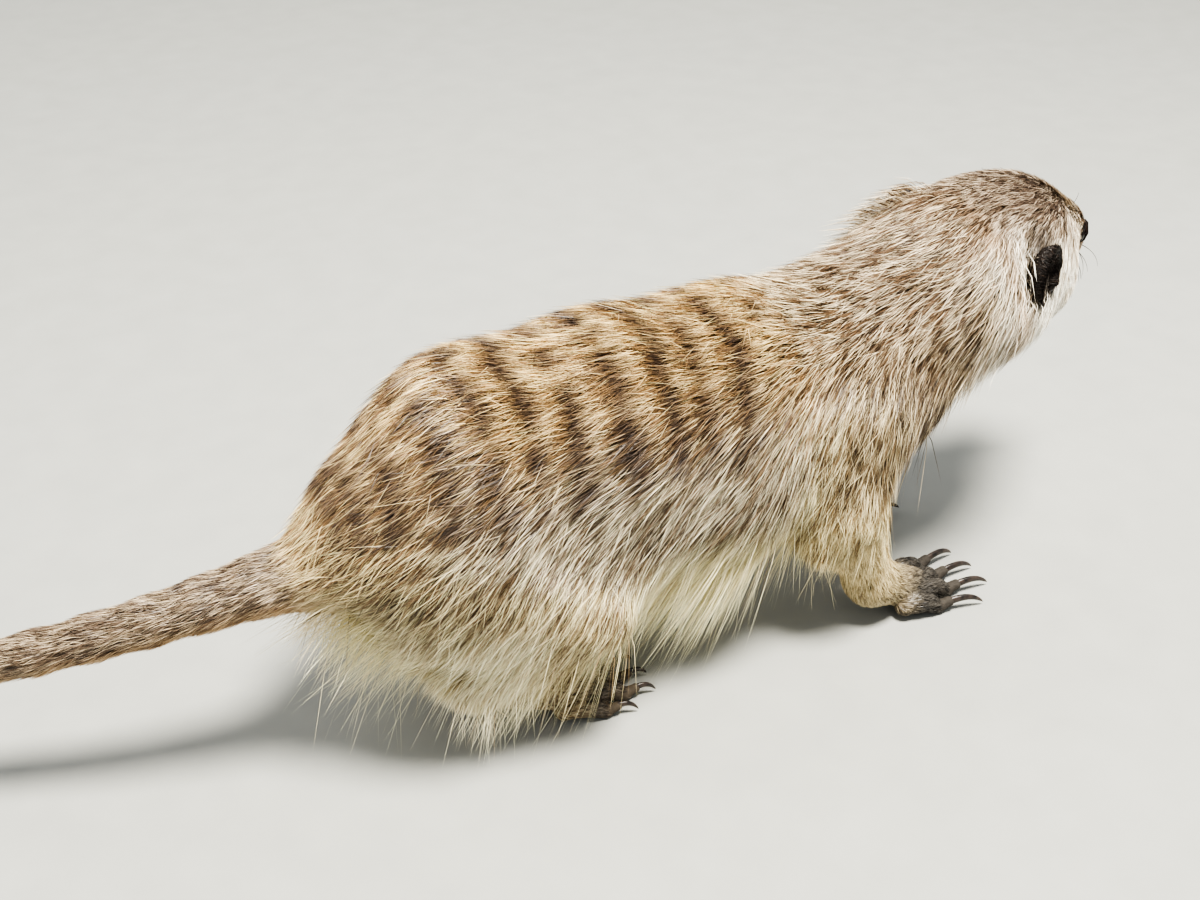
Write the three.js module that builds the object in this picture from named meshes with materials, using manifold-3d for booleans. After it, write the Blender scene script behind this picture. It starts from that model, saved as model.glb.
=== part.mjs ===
// A life-size meerkat standing on all fours, head held level and turned a little to its left, tail
// trailing behind in the air. Millimetres, +Z up, +X towards the head, +Y to the animal's left.
//
// The body, coat included, is one smooth field of blended round cones and ellipsoids. Each region of it
// is turned into facets, then parted from its neighbours at the joints by thin cuts. Toes, claws and
// ears are lofted tubes and turned dishes, and the eyes and the nose are balls set into the head.
import * as THREE from "three";
import { edgeTable, triTable } from "three/addons/objects/MarchingCubes.js";
import { ConvexGeometry } from "three/addons/geometries/ConvexGeometry.js";
import { mergeVertices } from "three/addons/utils/BufferGeometryUtils.js";
import Module from "manifold-3d";

const wasm = await Module();
wasm.setup();

const v = (x, y, z) => new THREE.Vector3(x, y, z);
const radians = THREE.MathUtils.degToRad;
const station = (x, y, z, r) => ({ at: v(x, y, z), r });
const LEFT = 1;
const RIGHT = -1;
const SIDES = [LEFT, RIGHT];
const sideName = (side) => (side === LEFT ? "left" : "right");
const mirrored = (p, side) => v(p.x, p.y * side, p.z);

// ---------------------------------------------------------------- driving dimensions
const GAP = 0.3; // clearance between neighbouring pieces

// The trunk: round cones along the back and along the belly, and the long hair that hangs below them.
const BACK = [
  station(-67, 0, 76, 25), // rump
  station(-40, 0, 87, 32), // croup
  station(0, 0, 87, 33), // loin
  station(40, 0, 87, 31), // ribs
  station(74, 1, 91, 26), // withers
];
const BELLY = [
  station(-54, 0, 58, 24), // groin
  station(-12, 0, 62, 31), // belly
  station(34, 0, 63, 30), // ribs
  station(66, 0, 64, 27), // breastbone
  station(94, 1, 76, 26), // breast
  station(124, 3, 94, 22), // throat
];
const BREECH_HAIR = { at: v(-50, 18, 39), half: v(32, 17, 21) };
const BELLY_HAIR = { at: v(28, 0, 43), half: v(50, 24, 19) };
const NECK = [station(84, 1, 90, 26), station(120, 3, 106, 26)];
const TAIL = [
  station(-78, 0, 69, 14),
  station(-104, 4, 65, 9.4),
  station(-134, 12, 58, 7.4),
  station(-164, 23, 50.5, 6.6),
  station(-196, 38, 42, 6),
  station(-226, 56, 34, 5),
  station(-250, 74, 28, 3.4),
];
const HAIR_BLEND = 16;
const TRUNK_BLEND = 14;
const TAIL_BLEND = 9;

// The limbs, given for the left side. Every joint is a centre and the limb's radius there, hair included.
const HIND = {
  name: "hind",
  joints: [
    station(-50, 13, 70, 25), // hip
    station(-20, 24, 48, 16), // knee
    station(-50, 15, 21, 8), // heel
    station(-17, 18, 4.6, 6.6), // ball of the foot
  ],
  fringe: station(-34, 22, 34, 11),
  toes: { turn: 8, pitch: 4.9, length: 13, r: 3.2, outerBack: 6, claw: 8, clawR: 1.2 },
};
const FORE = {
  name: "fore",
  joints: [
    station(76, 15, 80, 21), // shoulder
    station(72, 25, 50, 13), // elbow
    station(85, 26, 15, 7.8), // wrist
    station(103, 26, 4.8, 7), // ball of the foot
  ],
  fringe: station(62, 25, 33, 11),
  toes: { turn: 5, pitch: 5.8, length: 12, r: 3.5, outerBack: 5, claw: 14, clawR: 1.5 },
};
const UPPER_BLEND = 12;
const LOWER_BLEND = 6;
const INNER = 6; // the limbs' pieces keep this far from the middle plane

// The head, in a frame of its own: x to the nose, y to the animal's left, z to the crown.
const HEAD = { at: v(150, 4, 106.5), yaw: 15, pitch: 4 };
const SKULL = { at: v(-7, 0, 5), half: v(27, 24.5, 22) };
const CHEEK = { at: v(-4, 13, -6), half: v(19, 12.5, 14) };
const RUFF = { at: v(-17, 0, -8), half: v(18, 25, 20) };
const BROW = { at: v(14, 9.5, 8.5), r: 7 };
const SNOUT = [station(6, 0, 1, 18), station(23, 0, -1.5, 11.5), station(38, 0, -5, 6)];
const JAW = [station(4, 0, -9, 11), station(20, 0, -9.5, 7.5), station(34, 0, -11, 4)];
const EYE = { at: v(19.5, 11.4, 5), r: 4.7 };
const NOSE = { at: v(41.5, 0, -3), half: v(4, 4.4, 3.6) };
const EAR = { x: -17, z: 4.5, height: 20, width: 13, depth: 5, forward: 40, sunk: 0.5 };
const FACE_BLEND = 6;

// ---------------------------------------------------------------- the body as a field
// Each field gives the distance from a point to its surface, negative inside.
function ellipsoid({ at, half }) {
  return (p) => {
    const q = p.clone().sub(at).divide(half);
    const near = q.length();
    const slope = q.divide(half).length();
    return slope === 0 ? -Math.min(half.x, half.y, half.z) : (near * (near - 1)) / slope;
  };
}

const ball = ({ at, r }) => (p) => p.distanceTo(at) - r;

function roundCone(a, b) {
  const along = b.at.clone().sub(a.at);
  const size = along.lengthSq();
  return (p) => {
    const q = p.clone().sub(a.at);
    const t = THREE.MathUtils.clamp(q.dot(along) / size, 0, 1);
    return q.addScaledVector(along, -t).length() - THREE.MathUtils.lerp(a.r, b.r, t);
  };
}

const chain = (stations) => stations.slice(1).map((b, i) => roundCone(stations[i], b));

// Two distances joined by a fillet of about size k.
function filleted(a, b, k) {
  const h = Math.max(k - Math.abs(a - b), 0) / k;
  return Math.min(a, b) - (h * h * k) / 4;
}

const blended = (fields, k) => (p) => fields.map((f) => f(p)).reduce((a, b) => filleted(a, b, k));

const headTurn = new THREE.Matrix4()
  .makeRotationFromEuler(new THREE.Euler(0, radians(HEAD.pitch), radians(HEAD.yaw), "ZYX"))
  .setPosition(HEAD.at);
const headBack = headTurn.clone().invert();

const onSide = (form, side) => ({ ...form, at: mirrored(form.at, side) });
const faceField = blended(
  [
    ellipsoid(SKULL),
    ellipsoid(RUFF),
    ...SIDES.flatMap((side) => [ellipsoid(onSide(CHEEK, side)), ball(onSide(BROW, side))]),
    ...chain(SNOUT),
    ...chain(JAW),
  ],
  FACE_BLEND,
);
const headField = (p) => faceField(p.clone().applyMatrix4(headBack));
const trunkField = blended([...chain(BACK), ...chain(BELLY), ...chain(NECK), headField], TRUNK_BLEND);
const tailField = blended(chain(TAIL), 3);
const hairField = blended(
  [ellipsoid(BELLY_HAIR), ...SIDES.map((side) => ellipsoid(onSide(BREECH_HAIR, side)))],
  HAIR_BLEND,
);

const limbs = [HIND, FORE].flatMap((limb) =>
  SIDES.map((side) => ({
    ...limb,
    side,
    name: `${limb.name}_${sideName(side)}`,
    joints: limb.joints.map((joint) => onSide(joint, side)),
    fringe: onSide(limb.fringe, side),
  })),
);
const upperField = blended(limbs.map(({ joints }) => roundCone(joints[0], joints[1])), 1);
const lowerField = blended(
  limbs.flatMap(({ joints, fringe }) => [...chain(joints.slice(1)), ball(fringe)]),
  LOWER_BLEND,
);

function body(p) {
  const torso = filleted(trunkField(p), hairField(p), HAIR_BLEND);
  const tailed = filleted(torso, tailField(p), TAIL_BLEND);
  const thighed = filleted(tailed, upperField(p), UPPER_BLEND);
  return filleted(thighed, lowerField(p), LOWER_BLEND);
}

// ---------------------------------------------------------------- from field to facets
const SQUARE = [[0, 0], [1, 0], [1, 1], [0, 1]];
const CORNERS = [0, 1].flatMap((z) => SQUARE.map(([x, y]) => [x, y, z]));
const EDGES = [
  ...[[0, 1], [1, 2], [2, 3], [3, 0]], // round the foot of a cell
  ...[[4, 5], [5, 6], [6, 7], [7, 4]], // round its top
  ...[[0, 4], [1, 5], [2, 6], [3, 7]], // up its corners
];
const ROW = 16; // entries in triTable for one arrangement of corners

// Moves a point of a cell's edge onto the true surface.
function ontoSurface(p) {
  const h = 0.5;
  const rise = (step) => (body(p.clone().add(step)) - body(p.clone().sub(step))) / (2 * h);
  const slope = v(rise(v(h, 0, 0)), rise(v(0, h, 0)), rise(v(0, 0, h)));
  return p.addScaledVector(slope, -body(p) / Math.max(slope.lengthSq(), 0.2));
}

// Marching cubes through a box, with cells of any proportions. The solid is closed at the box's sides.
function facets(box, cell) {
  const axes = ["x", "y", "z"];
  const [nx, ny, nz] = axes.map((axis) => Math.ceil((box.max[axis] - box.min[axis]) / cell[axis]) + 1);
  const number = ([i, j, k]) => (k * ny + j) * nx + i;
  const corner = ([i, j, k]) => v(i, j, k).multiply(cell).add(box.min);
  const distance = [];
  const closing = new Set(); // corners inside the body, on the box's sides
  for (let k = 0; k < nz; k++)
    for (let j = 0; j < ny; j++)
      for (let i = 0; i < nx; i++) {
        const rim = i === 0 || j === 0 || k === 0 || i === nx - 1 || j === ny - 1 || k === nz - 1;
        const d = body(corner([i, j, k]));
        if (rim && d < 0) closing.add(distance.length);
        distance.push(rim ? Math.abs(d) : d);
      }
  const positions = [];
  const index = [];
  const made = new Map();
  const vertexOn = (cellAt, edge) => {
    const [a, b] = EDGES[edge].map((c) => CORNERS[c].map((step, axis) => cellAt[axis] + step));
    const [na, nb] = [number(a), number(b)];
    const key = Math.min(na, nb) * distance.length + Math.max(na, nb);
    if (!made.has(key)) {
      const t = THREE.MathUtils.clamp(distance[na] / (distance[na] - distance[nb]), 0.04, 0.96);
      const p = corner(a).lerp(corner(b), t);
      made.set(key, positions.length / 3);
      positions.push(...(closing.has(na) || closing.has(nb) ? p : ontoSurface(p)).toArray());
    }
    return made.get(key);
  };
  for (let k = 0; k < nz - 1; k++)
    for (let j = 0; j < ny - 1; j++)
      for (let i = 0; i < nx - 1; i++) {
        const inside = CORNERS.map(([x, y, z]) => distance[number([i + x, j + y, k + z])] < 0);
        const row = inside.reduce((sum, yes, c) => sum + (yes ? 1 << c : 0), 0);
        if (edgeTable[row] === 0) continue;
        for (let t = row * ROW; triTable[t] !== -1; t += 3)
          index.push(...[2, 1, 0].map((c) => vertexOn([i, j, k], triTable[t + c])));
      }
  return solid(positions, index);
}

// The point where a line leaves the body, from a point inside it.
function wayOut(from, direction) {
  const p = from.clone();
  for (let d = body(p); d < -0.01; d = body(p)) p.addScaledVector(direction, -0.8 * d);
  return p;
}

function boxRound(stations, margin) {
  const box = new THREE.Box3();
  for (const { at, r } of stations)
    box.union(new THREE.Box3().setFromCenterAndSize(at, v(1, 1, 1).multiplyScalar(2 * (r + margin))));
  return box;
}

// ---------------------------------------------------------------- solids
// A closed set of facets as a solid, turned the right way out.
function solid(positions, index) {
  const vertProperties = Float32Array.from(positions);
  const made = (order) =>
    new wasm.Manifold(new wasm.Mesh({ numProp: 3, vertProperties, triVerts: Uint32Array.from(order) }));
  const first = made(index);
  return first.volume() > 0 ? first : made(index.toReversed());
}

function solidOf(geometry) {
  const bare = new THREE.BufferGeometry();
  bare.setAttribute("position", geometry.getAttribute("position"));
  bare.setIndex(geometry.index);
  const merged = mergeVertices(bare, 1e-3);
  return solid(merged.getAttribute("position").array, [...merged.index.array]);
}

// A tapering tube round a curve, pointed at both ends.
function taperedTube(curve, radiusAt, sides, rings) {
  const frames = curve.computeFrenetFrames(rings, false);
  const positions = curve.getPoint(0).toArray();
  for (let i = 0; i <= rings; i++)
    for (let s = 0; s < sides; s++) {
      const angle = (2 * Math.PI * s) / sides;
      const out = frames.normals[i].clone().multiplyScalar(Math.cos(angle));
      out.addScaledVector(frames.binormals[i], Math.sin(angle));
      positions.push(...curve.getPoint(i / rings).addScaledVector(out, radiusAt(i / rings)).toArray());
    }
  const end = positions.length / 3;
  positions.push(...curve.getPoint(1).addScaledVector(curve.getTangent(1), radiusAt(1) * 0.6).toArray());
  const on = (ring, s) => 1 + ring * sides + (s % sides);
  const index = [];
  for (let s = 0; s < sides; s++) {
    index.push(0, on(0, s + 1), on(0, s), end, on(rings, s), on(rings, s + 1));
    for (let i = 0; i < rings; i++) {
      index.push(on(i, s), on(i, s + 1), on(i + 1, s + 1), on(i, s), on(i + 1, s + 1), on(i + 1, s));
    }
  }
  return solid(positions, index);
}

// The hull round a row of balls, each grown by its own share.
function hullRound(stations, grow) {
  const points = stations.flatMap(({ at, r }) => {
    const sphere = new THREE.SphereGeometry(r + grow, 9, 5).getAttribute("position");
    const place = (i) => v(0, 0, 0).fromBufferAttribute(sphere, i).add(at);
    return Array.from({ length: sphere.count }, (_, i) => place(i));
  });
  return solidOf(new ConvexGeometry(points));
}

// All space on one side of a plane, as a box far larger than the animal, grown past the plane.
const REACH = 700;
function beyond(plane, grow = 0) {
  const half = new THREE.BoxGeometry(REACH, REACH, REACH).translate(0, 0, REACH / 2 - grow);
  const facing = plane.normal.clone().normalize();
  half.applyQuaternion(new THREE.Quaternion().setFromUnitVectors(v(0, 0, 1), facing));
  return solidOf(half.translate(plane.at.x, plane.at.y, plane.at.z));
}

const opposite = ({ at, normal }) => ({ at, normal: normal.clone().negate() });
const ahead = (shape, plane) => shape.intersect(beyond(plane, -GAP / 2));
const behind = (shape, plane) => ahead(shape, opposite(plane));
const largest = (shape) => shape.decompose().reduce((a, b) => (a.volume() > b.volume() ? a : b));

const FLOOR = { at: v(0, 0, 0), normal: v(0, 0, 1) };
const aboveFloor = (shape) => shape.intersect(beyond(FLOOR));

// ---------------------------------------------------------------- the animal's group
const group = new THREE.Group();
const animal = new THREE.Group();
group.add(animal);

const SURFACES = {
  coat: { color: 0xb4936c, roughness: 0.85 },
  tail: { color: 0x80604a, roughness: 0.85 },
  tailEnd: { color: 0x2f241e, roughness: 0.85 },
  ear: { color: 0x241e1b, roughness: 0.7 },
  claw: { color: 0x2b2624, roughness: 0.4 },
  nose: { color: 0x3a2c28, roughness: 0.4 },
  eye: { color: 0x150d09, roughness: 0.06 },
};

function addPiece(name, shape, surface) {
  const { vertProperties, triVerts } = shape.getMesh();
  const geometry = new THREE.BufferGeometry();
  geometry.setAttribute("position", new THREE.BufferAttribute(vertProperties, 3));
  geometry.setIndex(new THREE.BufferAttribute(triVerts, 1));
  geometry.computeVertexNormals();
  const material = new THREE.MeshStandardMaterial({ ...SURFACES[surface], metalness: 0 });
  const piece = new THREE.Mesh(geometry, material);
  piece.name = name;
  animal.add(piece);
}

// ---------------------------------------------------------------- limbs
// The plane through a bent joint b that parts the limb towards a from the limb towards c.
function jointPlane(a, b, c) {
  const up = a.at.clone().sub(b.at).normalize();
  const down = c.at.clone().sub(b.at).normalize();
  return { at: b.at, normal: up.sub(down) };
}

// The room that a limb's three pieces take out of the trunk.
function limbRooms({ joints, fringe, side }, grow) {
  const [root, bend, ankle, toeRoot] = joints;
  const wider = (joint, by) => ({ at: joint.at, r: joint.r + by });
  const outside = beyond({ at: v(0, side * INNER, 0), normal: v(0, side, 0) }, grow);
  const upper = hullRound([wider(root, 3), wider(bend, 5)], grow).intersect(outside);
  const lower = hullRound([wider(bend, 4), wider(ankle, 4), wider(fringe, 3)], grow).intersect(outside);
  const paw = hullRound([wider(ankle, 4), wider(toeRoot, 4)], grow).intersect(outside);
  return { upper, lower, paw, all: upper.add(lower).add(paw) };
}

const DIGITS = [1.5, 0.5, -0.5, -1.5]; // places across the foot, from its inner to its outer side
const TOE_TAPER = 0.74; // a toe's radius at its tip, as a share of that at its root
const PAD_PRESS = 0.5; // how far each toe pad is pressed flat by the floor

// One toe and its claw: the middle two reach furthest.
function digit({ joints, side, toes }, place) {
  const heading = radians(side * (toes.turn + 7 * -place));
  const forward = v(Math.cos(heading), Math.sin(heading), 0);
  const across = v(-Math.sin(radians(side * toes.turn)), Math.cos(radians(side * toes.turn)), 0);
  const setBack = 1.9 * (Math.abs(place) - 0.5) + (place === DIGITS[3] ? toes.outerBack : 0);
  const root = joints[3].at.clone().addScaledVector(across, -side * place * toes.pitch);
  root.addScaledVector(forward, -setBack).setZ(toes.r + 1.2);
  const along = (distance, z) => root.clone().addScaledVector(forward, distance).setZ(z);
  const padZ = toes.r * TOE_TAPER - PAD_PRESS;
  const toe = new THREE.QuadraticBezierCurve3(
    root,
    along(toes.length * 0.6, toes.r + 2.6),
    along(toes.length, padZ),
  );
  const start = toes.length + toes.r * 0.62 + GAP;
  const claw = new THREE.QuadraticBezierCurve3(
    along(start, padZ + 0.9),
    along(start + toes.claw * 0.62, toes.r + 3.4),
    along(start + toes.claw, 1),
  );
  return {
    toe: taperedTube(toe, (t) => toes.r * THREE.MathUtils.lerp(1, TOE_TAPER, t * t), 8, 3),
    claw: taperedTube(claw, (t) => toes.clawR * (1 - 0.75 * t), 5, 4),
  };
}

function addLimb(limb) {
  const rooms = limbRooms(limb, 0);
  const [root, bend, ankle, toeRoot] = limb.joints;
  const bendPlane = jointPlane(root, bend, ankle);
  const anklePlane = jointPlane(bend, ankle, toeRoot);
  const upper = facets(boxRound([root, bend], 12), v(9, 8, 9)).intersect(rooms.upper);
  addPiece(`${limb.name}_upper`, largest(ahead(upper, bendPlane)), "coat");
  const room = rooms.upper.add(rooms.lower);
  const lower = facets(boxRound([bend, ankle, limb.fringe], 9), v(6.5, 6.5, 7)).intersect(room);
  addPiece(`${limb.name}_lower`, largest(ahead(behind(lower, bendPlane), anklePlane)), "coat");
  const digits = DIGITS.map((place) => digit(limb, place));
  const foot = facets(boxRound([ankle, toeRoot], 7), v(5.5, 4.8, 4.8)).intersect(rooms.paw);
  const paw = digits.reduce((shape, { toe }) => shape.add(toe), behind(foot, anklePlane));
  addPiece(`${limb.name}_paw`, largest(aboveFloor(paw)), "coat");
  digits.forEach(({ claw }, i) => addPiece(`${limb.name}_claw_${i + 1}`, claw, "claw"));
}

limbs.forEach(addLimb);

// ---------------------------------------------------------------- head
const fromHead = (x, y, z) => v(x, y, z).applyMatrix4(headTurn);

// A shallow cup, its mouth turned out and forward, its back sunk in the side of the head.
const CUP = [[0, -1], [0.6, -0.78], [0.95, -0.2], [1, 0.3], [0.86, 0.42], [0.5, -0.1], [0, -0.3]];
const CUP_ROOM = [...CUP.slice(0, 5), [0, 0.6]]; // the cup with its hollow filled
function ear(side, profile, grow) {
  const cup = new THREE.LatheGeometry(profile.map(([r, y]) => new THREE.Vector2(r, y)), 12);
  cup.scale(EAR.width / 2 + grow, EAR.depth + grow, EAR.height / 2 + grow);
  cup.rotateZ(radians(-EAR.forward));
  if (side === RIGHT) cup.rotateZ(radians(2 * EAR.forward + 180));
  const outward = v(0, side, 0).transformDirection(headTurn);
  const at = wayOut(fromHead(EAR.x, 0, EAR.z), outward).addScaledVector(outward, -EAR.sunk);
  return solidOf(cup.applyMatrix4(headTurn.clone().setPosition(at)));
}

const throat = { at: fromHead(-28, 0, -4), normal: v(1, 0.1, 0.1) };
const shoulder = { at: v(94, 2, 90), normal: v(1, 0, 0.45) };

function addHead() {
  const round = (at, half, grow) =>
    solidOf(
      new THREE.SphereGeometry(1, 11, 7)
        .scale(half.x + grow, half.y + grow, half.z + grow)
        .translate(at.x, at.y, at.z)
        .applyMatrix4(headTurn),
    );
  const eyeball = (side, grow) => round(mirrored(EYE.at, side), v(EYE.r, EYE.r, EYE.r), grow);
  const whole = facets(boxRound([{ at: HEAD.at, r: 52 }], 0), v(5.8, 5.8, 5.8));
  let head = ahead(whole, throat).subtract(round(NOSE.at, NOSE.half, GAP));
  for (const side of SIDES) head = head.subtract(eyeball(side, GAP)).subtract(ear(side, CUP_ROOM, GAP));
  addPiece("head", largest(head), "coat");
  addPiece("nose", round(NOSE.at, NOSE.half, 0), "nose");
  for (const side of SIDES) {
    addPiece(`eye_${sideName(side)}`, eyeball(side, 0), "eye");
    addPiece(`ear_${sideName(side)}`, ear(side, CUP, 0), "ear");
  }
}
addHead();

// ---------------------------------------------------------------- trunk and tail
const hips = { at: v(-34, 0, 70), normal: v(1, 0, 0) };
const waist = { at: v(30, 0, 70), normal: v(1, 0, 0) };
const tailRoot = { at: v(-92, 0, 66), normal: v(1, -0.05, 0.1) };
const tailMiddle = { at: v(-142, 15, 56), normal: v(1, -0.3, 0.2) };
const tailEnd = { at: v(-206, 44, 39), normal: v(1, -0.55, 0.25) };

const limbRoom = limbs.map((limb) => limbRooms(limb, GAP).all).reduce((a, b) => a.add(b));
const trunk = facets(new THREE.Box3(v(-102, -50, 10), v(150, 50, 150)), v(15, 11, 11)).subtract(limbRoom);
addPiece("neck", largest(behind(ahead(trunk, shoulder), throat)), "coat");
addPiece("chest", largest(behind(ahead(trunk, waist), shoulder)), "coat");
addPiece("belly", largest(behind(ahead(trunk, hips), waist)), "coat");
addPiece("rump", largest(behind(ahead(trunk, tailRoot), hips)), "coat");

const tailStart = facets(boxRound(TAIL.slice(0, 4), 4), v(10, 5.6, 5.2));
addPiece("tail_base", largest(ahead(behind(tailStart, tailRoot), tailMiddle)), "tail");

function tailRadius(t) {
  const along = t * (TAIL.length - 1);
  const next = Math.min(Math.floor(along) + 1, TAIL.length - 1);
  return THREE.MathUtils.lerp(TAIL[next - 1].r, TAIL[next].r, along - next + 1);
}
const tail = taperedTube(new THREE.CatmullRomCurve3(TAIL.map(({ at }) => at)), tailRadius, 10, 28);
addPiece("tail_middle", largest(ahead(behind(tail, tailMiddle), tailEnd)), "tail");
addPiece("tail_tip", largest(behind(tail, tailEnd)), "tailEnd");

// The origin is on the floor, under the middle of the whole animal.
const extent = new THREE.Box3().setFromObject(group);
const centre = extent.getCenter(v(0, 0, 0));
animal.position.set(-centre.x, -centre.y, -extent.min.z);

export default group;
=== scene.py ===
# A life-size meerkat standing on all fours on a pale floor. One skin is laid inside the solids of flesh by
# the depth of the coat, and the coat is laid over it as thin tapering hairs in locks, out to where the
# solids reach. Only long loose hairs go past them.
import math
from collections import namedtuple
from functools import reduce

import bmesh
import bpy
import numpy as np
from mathutils import Matrix, Vector


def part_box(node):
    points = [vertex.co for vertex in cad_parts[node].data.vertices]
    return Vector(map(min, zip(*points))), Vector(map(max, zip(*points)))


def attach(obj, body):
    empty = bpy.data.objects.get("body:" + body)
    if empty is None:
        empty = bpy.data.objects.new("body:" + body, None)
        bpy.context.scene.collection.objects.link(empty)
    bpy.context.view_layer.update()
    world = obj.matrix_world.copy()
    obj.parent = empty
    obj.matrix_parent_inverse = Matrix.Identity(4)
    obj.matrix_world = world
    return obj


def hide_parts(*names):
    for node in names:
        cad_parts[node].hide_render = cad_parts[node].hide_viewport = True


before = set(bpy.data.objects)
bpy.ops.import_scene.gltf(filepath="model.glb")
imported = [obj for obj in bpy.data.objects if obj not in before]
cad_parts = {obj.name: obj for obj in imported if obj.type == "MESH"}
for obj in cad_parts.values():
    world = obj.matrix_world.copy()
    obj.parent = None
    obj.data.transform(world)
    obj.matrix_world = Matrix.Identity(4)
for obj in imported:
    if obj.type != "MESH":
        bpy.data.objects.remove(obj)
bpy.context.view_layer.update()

rng = np.random.default_rng(7)

# ---------------------------------------------------------------- the frame
# The forms below are in millimetres, in the body's own frame: x to the head, y to the animal's left,
# z up from the floor. Its place is read off the belly solid, which starts BELLY_BEHIND the body's middle
# and lies evenly to both sides of it.
MM = 0.001
BELLY_BEHIND = 33.85
belly_low, belly_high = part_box("belly")
ORIGIN = np.array((belly_low.x + BELLY_BEHIND * MM, (belly_low.y + belly_high.y) / 2, 0.0))


def placed(p):
    return np.asarray(p) * MM + ORIGIN


# ---------------------------------------------------------------- the forms
# Every station is x, y, z, the radius out to the tips of the coat, and the coat's depth there. An oval is
# its middle and its half sizes, with the coat's depth where it has one.
BACK = [(-67, 0, 76, 25, 6), (-40, 0, 87, 32, 7), (0, 0, 87, 33, 7), (40, 0, 87, 31, 7), (74, 1, 91, 26, 7)]
BELLY = [(-54, 0, 58, 24, 9), (-12, 0, 62, 31, 9), (34, 0, 63, 30, 9), (66, 0, 64, 27, 9), (94, 1, 76, 26, 8)]
BREAST = [BELLY[-1], (124, 3, 94, 22, 7)]
NECK = [(84, 1, 90, 26, 7), (120, 3, 106, 26, 6)]
TAIL_STATIONS = [
    (-78, 0, 69, 14, 5),
    (-104, 4, 65, 9.4, 3.6),
    (-134, 12, 58, 7.4, 3),
    (-164, 23, 50.5, 6.6, 2.8),
    (-196, 38, 42, 6, 2.6),
    (-226, 56, 34, 5, 2.4),
    (-250, 74, 28, 3.4, 1.8),
]


def rounded(stations):
    """The stations with one more between every two, on a smooth curve through them all."""
    s = np.array(stations, float)
    ends = np.concatenate([[2 * s[0] - s[1]], s, [2 * s[-1] - s[-2]]])
    between = (9 * (s[:-1] + s[1:]) - ends[:-3] - ends[3:]) / 16
    return [*np.stack([s[:-1], between], 1).reshape(-1, s.shape[1]), s[-1]]


TAIL = rounded(TAIL_STATIONS)
BELLY_HAIR = ((28, 0, 43), (50, 24, 19))
BREECH_HAIR = ((-50, 18, 39), (32, 17, 21))
HIND = [(-50, 13, 70, 25, 8), (-20, 24, 48, 16, 6), (-50, 15, 21, 8, 3.2), (-17, 18, 4.6, 6.6, 0.8)]
HIND_FRINGE = (-34, 22, 34, 11)
HIND_TOES = {"turn": 8, "pitch": 4.9, "length": 13, "r": 3.2, "outer_back": 6, "claw": 8, "claw_r": 1.2}
FORE = [(76, 15, 80, 21, 7), (72, 25, 50, 13, 4.5), (85, 26, 15, 7.8, 1.8), (103, 26, 4.8, 7, 0.8)]
FORE_FRINGE = (62, 25, 33, 11)
FORE_TOES = {"turn": 5, "pitch": 5.8, "length": 12, "r": 3.5, "outer_back": 5, "claw": 14, "claw_r": 1.5}
LIMBS = [(HIND, HIND_FRINGE, HIND_TOES, side) for side in (1, -1)]
LIMBS += [(FORE, FORE_FRINGE, FORE_TOES, side) for side in (1, -1)]

# The head, in a frame of its own: x to the nose, y to the animal's left, z to the crown.
HEAD_AT = np.array((150, 4, 106.5))
HEAD_YAW, HEAD_PITCH = math.radians(15), math.radians(4)
SKULL = ((-7, 0, 5), (27, 24.5, 22), 3.5)
CHEEK = ((-4, 13, -6), (19, 12.5, 14), 3.5)
RUFF = ((-17, 0, -8), (18, 25, 20), 7)
BROW = (14, 9.5, 8.5, 7, 1.2)
SNOUT = [(6, 0, 1, 18, 3.5), (23, 0, -1.5, 11.5, 1.6), (38, 0, -5, 6, 0.7)]
JAW = [(4, 0, -9, 11, 3), (20, 0, -9.5, 7.5, 1.4), (34, 0, -11, 4, 0.6)]
EYE = np.array((19.5, 11.4, 5))
EYE_R = 4.7
GAZE = (0.74, 0.66, 0.1)
NOSE = np.array((41.5, 0, -3))
NOSE_HALF = np.array((4, 4.4, 3.6))
EAR = {"x": -17, "z": 4.5, "height": 20, "width": 13, "depth": 5, "forward": 12}

HEAD_TURN = np.array(Matrix.Rotation(HEAD_YAW, 3, "Z") @ Matrix.Rotation(HEAD_PITCH, 3, "Y"))


def into_head(p):
    return (p - HEAD_AT) @ HEAD_TURN


def from_head(q):
    return np.asarray(q) @ HEAD_TURN.T + HEAD_AT


def unit(v):
    v = np.asarray(v, float)
    return v / np.maximum(np.linalg.norm(v, axis=-1, keepdims=True), 1e-9)


def size(v):
    return np.sqrt(np.einsum("...i,...i->...", v, v))


def dot(a, b):
    return np.einsum("ij,ij->i", a, b)[:, None]


def curve(a, b, c, t):
    """A point on the curve that leaves a towards b and reaches c from b."""
    return (1 - t) ** 2 * a + 2 * t * (1 - t) * b + t * t * c


def smooth(low, high, x):
    """0 up to low, 1 from high on, with a soft step between them."""
    t = np.clip((x - low) / (high - low), 0, 1)
    return t * t * (3 - 2 * t)


def bell(x, width, power=2):
    """1 at x = 0, fading to both sides."""
    return np.exp(-((x / width) ** power))


def mixed(a, b, share):
    return a * (1 - share) + b * share


# ---------------------------------------------------------------- the body as a field
# Distance to the surface, negative inside: to the tips of the coat with bare = 0, to the skin with bare = 1.
def cone(p, a, b, bare):
    start, end = np.array(a[:3], float), np.array(b[:3], float)
    r_start, r_end = a[3] - bare * a[-1], b[3] - bare * b[-1]
    along = end - start
    q = p - start
    t = np.clip(q @ along / (along @ along), 0, 1)
    return size(q - t[:, None] * along) - (r_start + (r_end - r_start) * t)


def oval(p, at, half, depth=0):
    half = np.asarray(half, float) - depth
    q = (p - np.asarray(at, float)) / half
    near = size(q)
    return near * (near - 1) / np.maximum(size(q / half), 1e-9)


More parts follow.
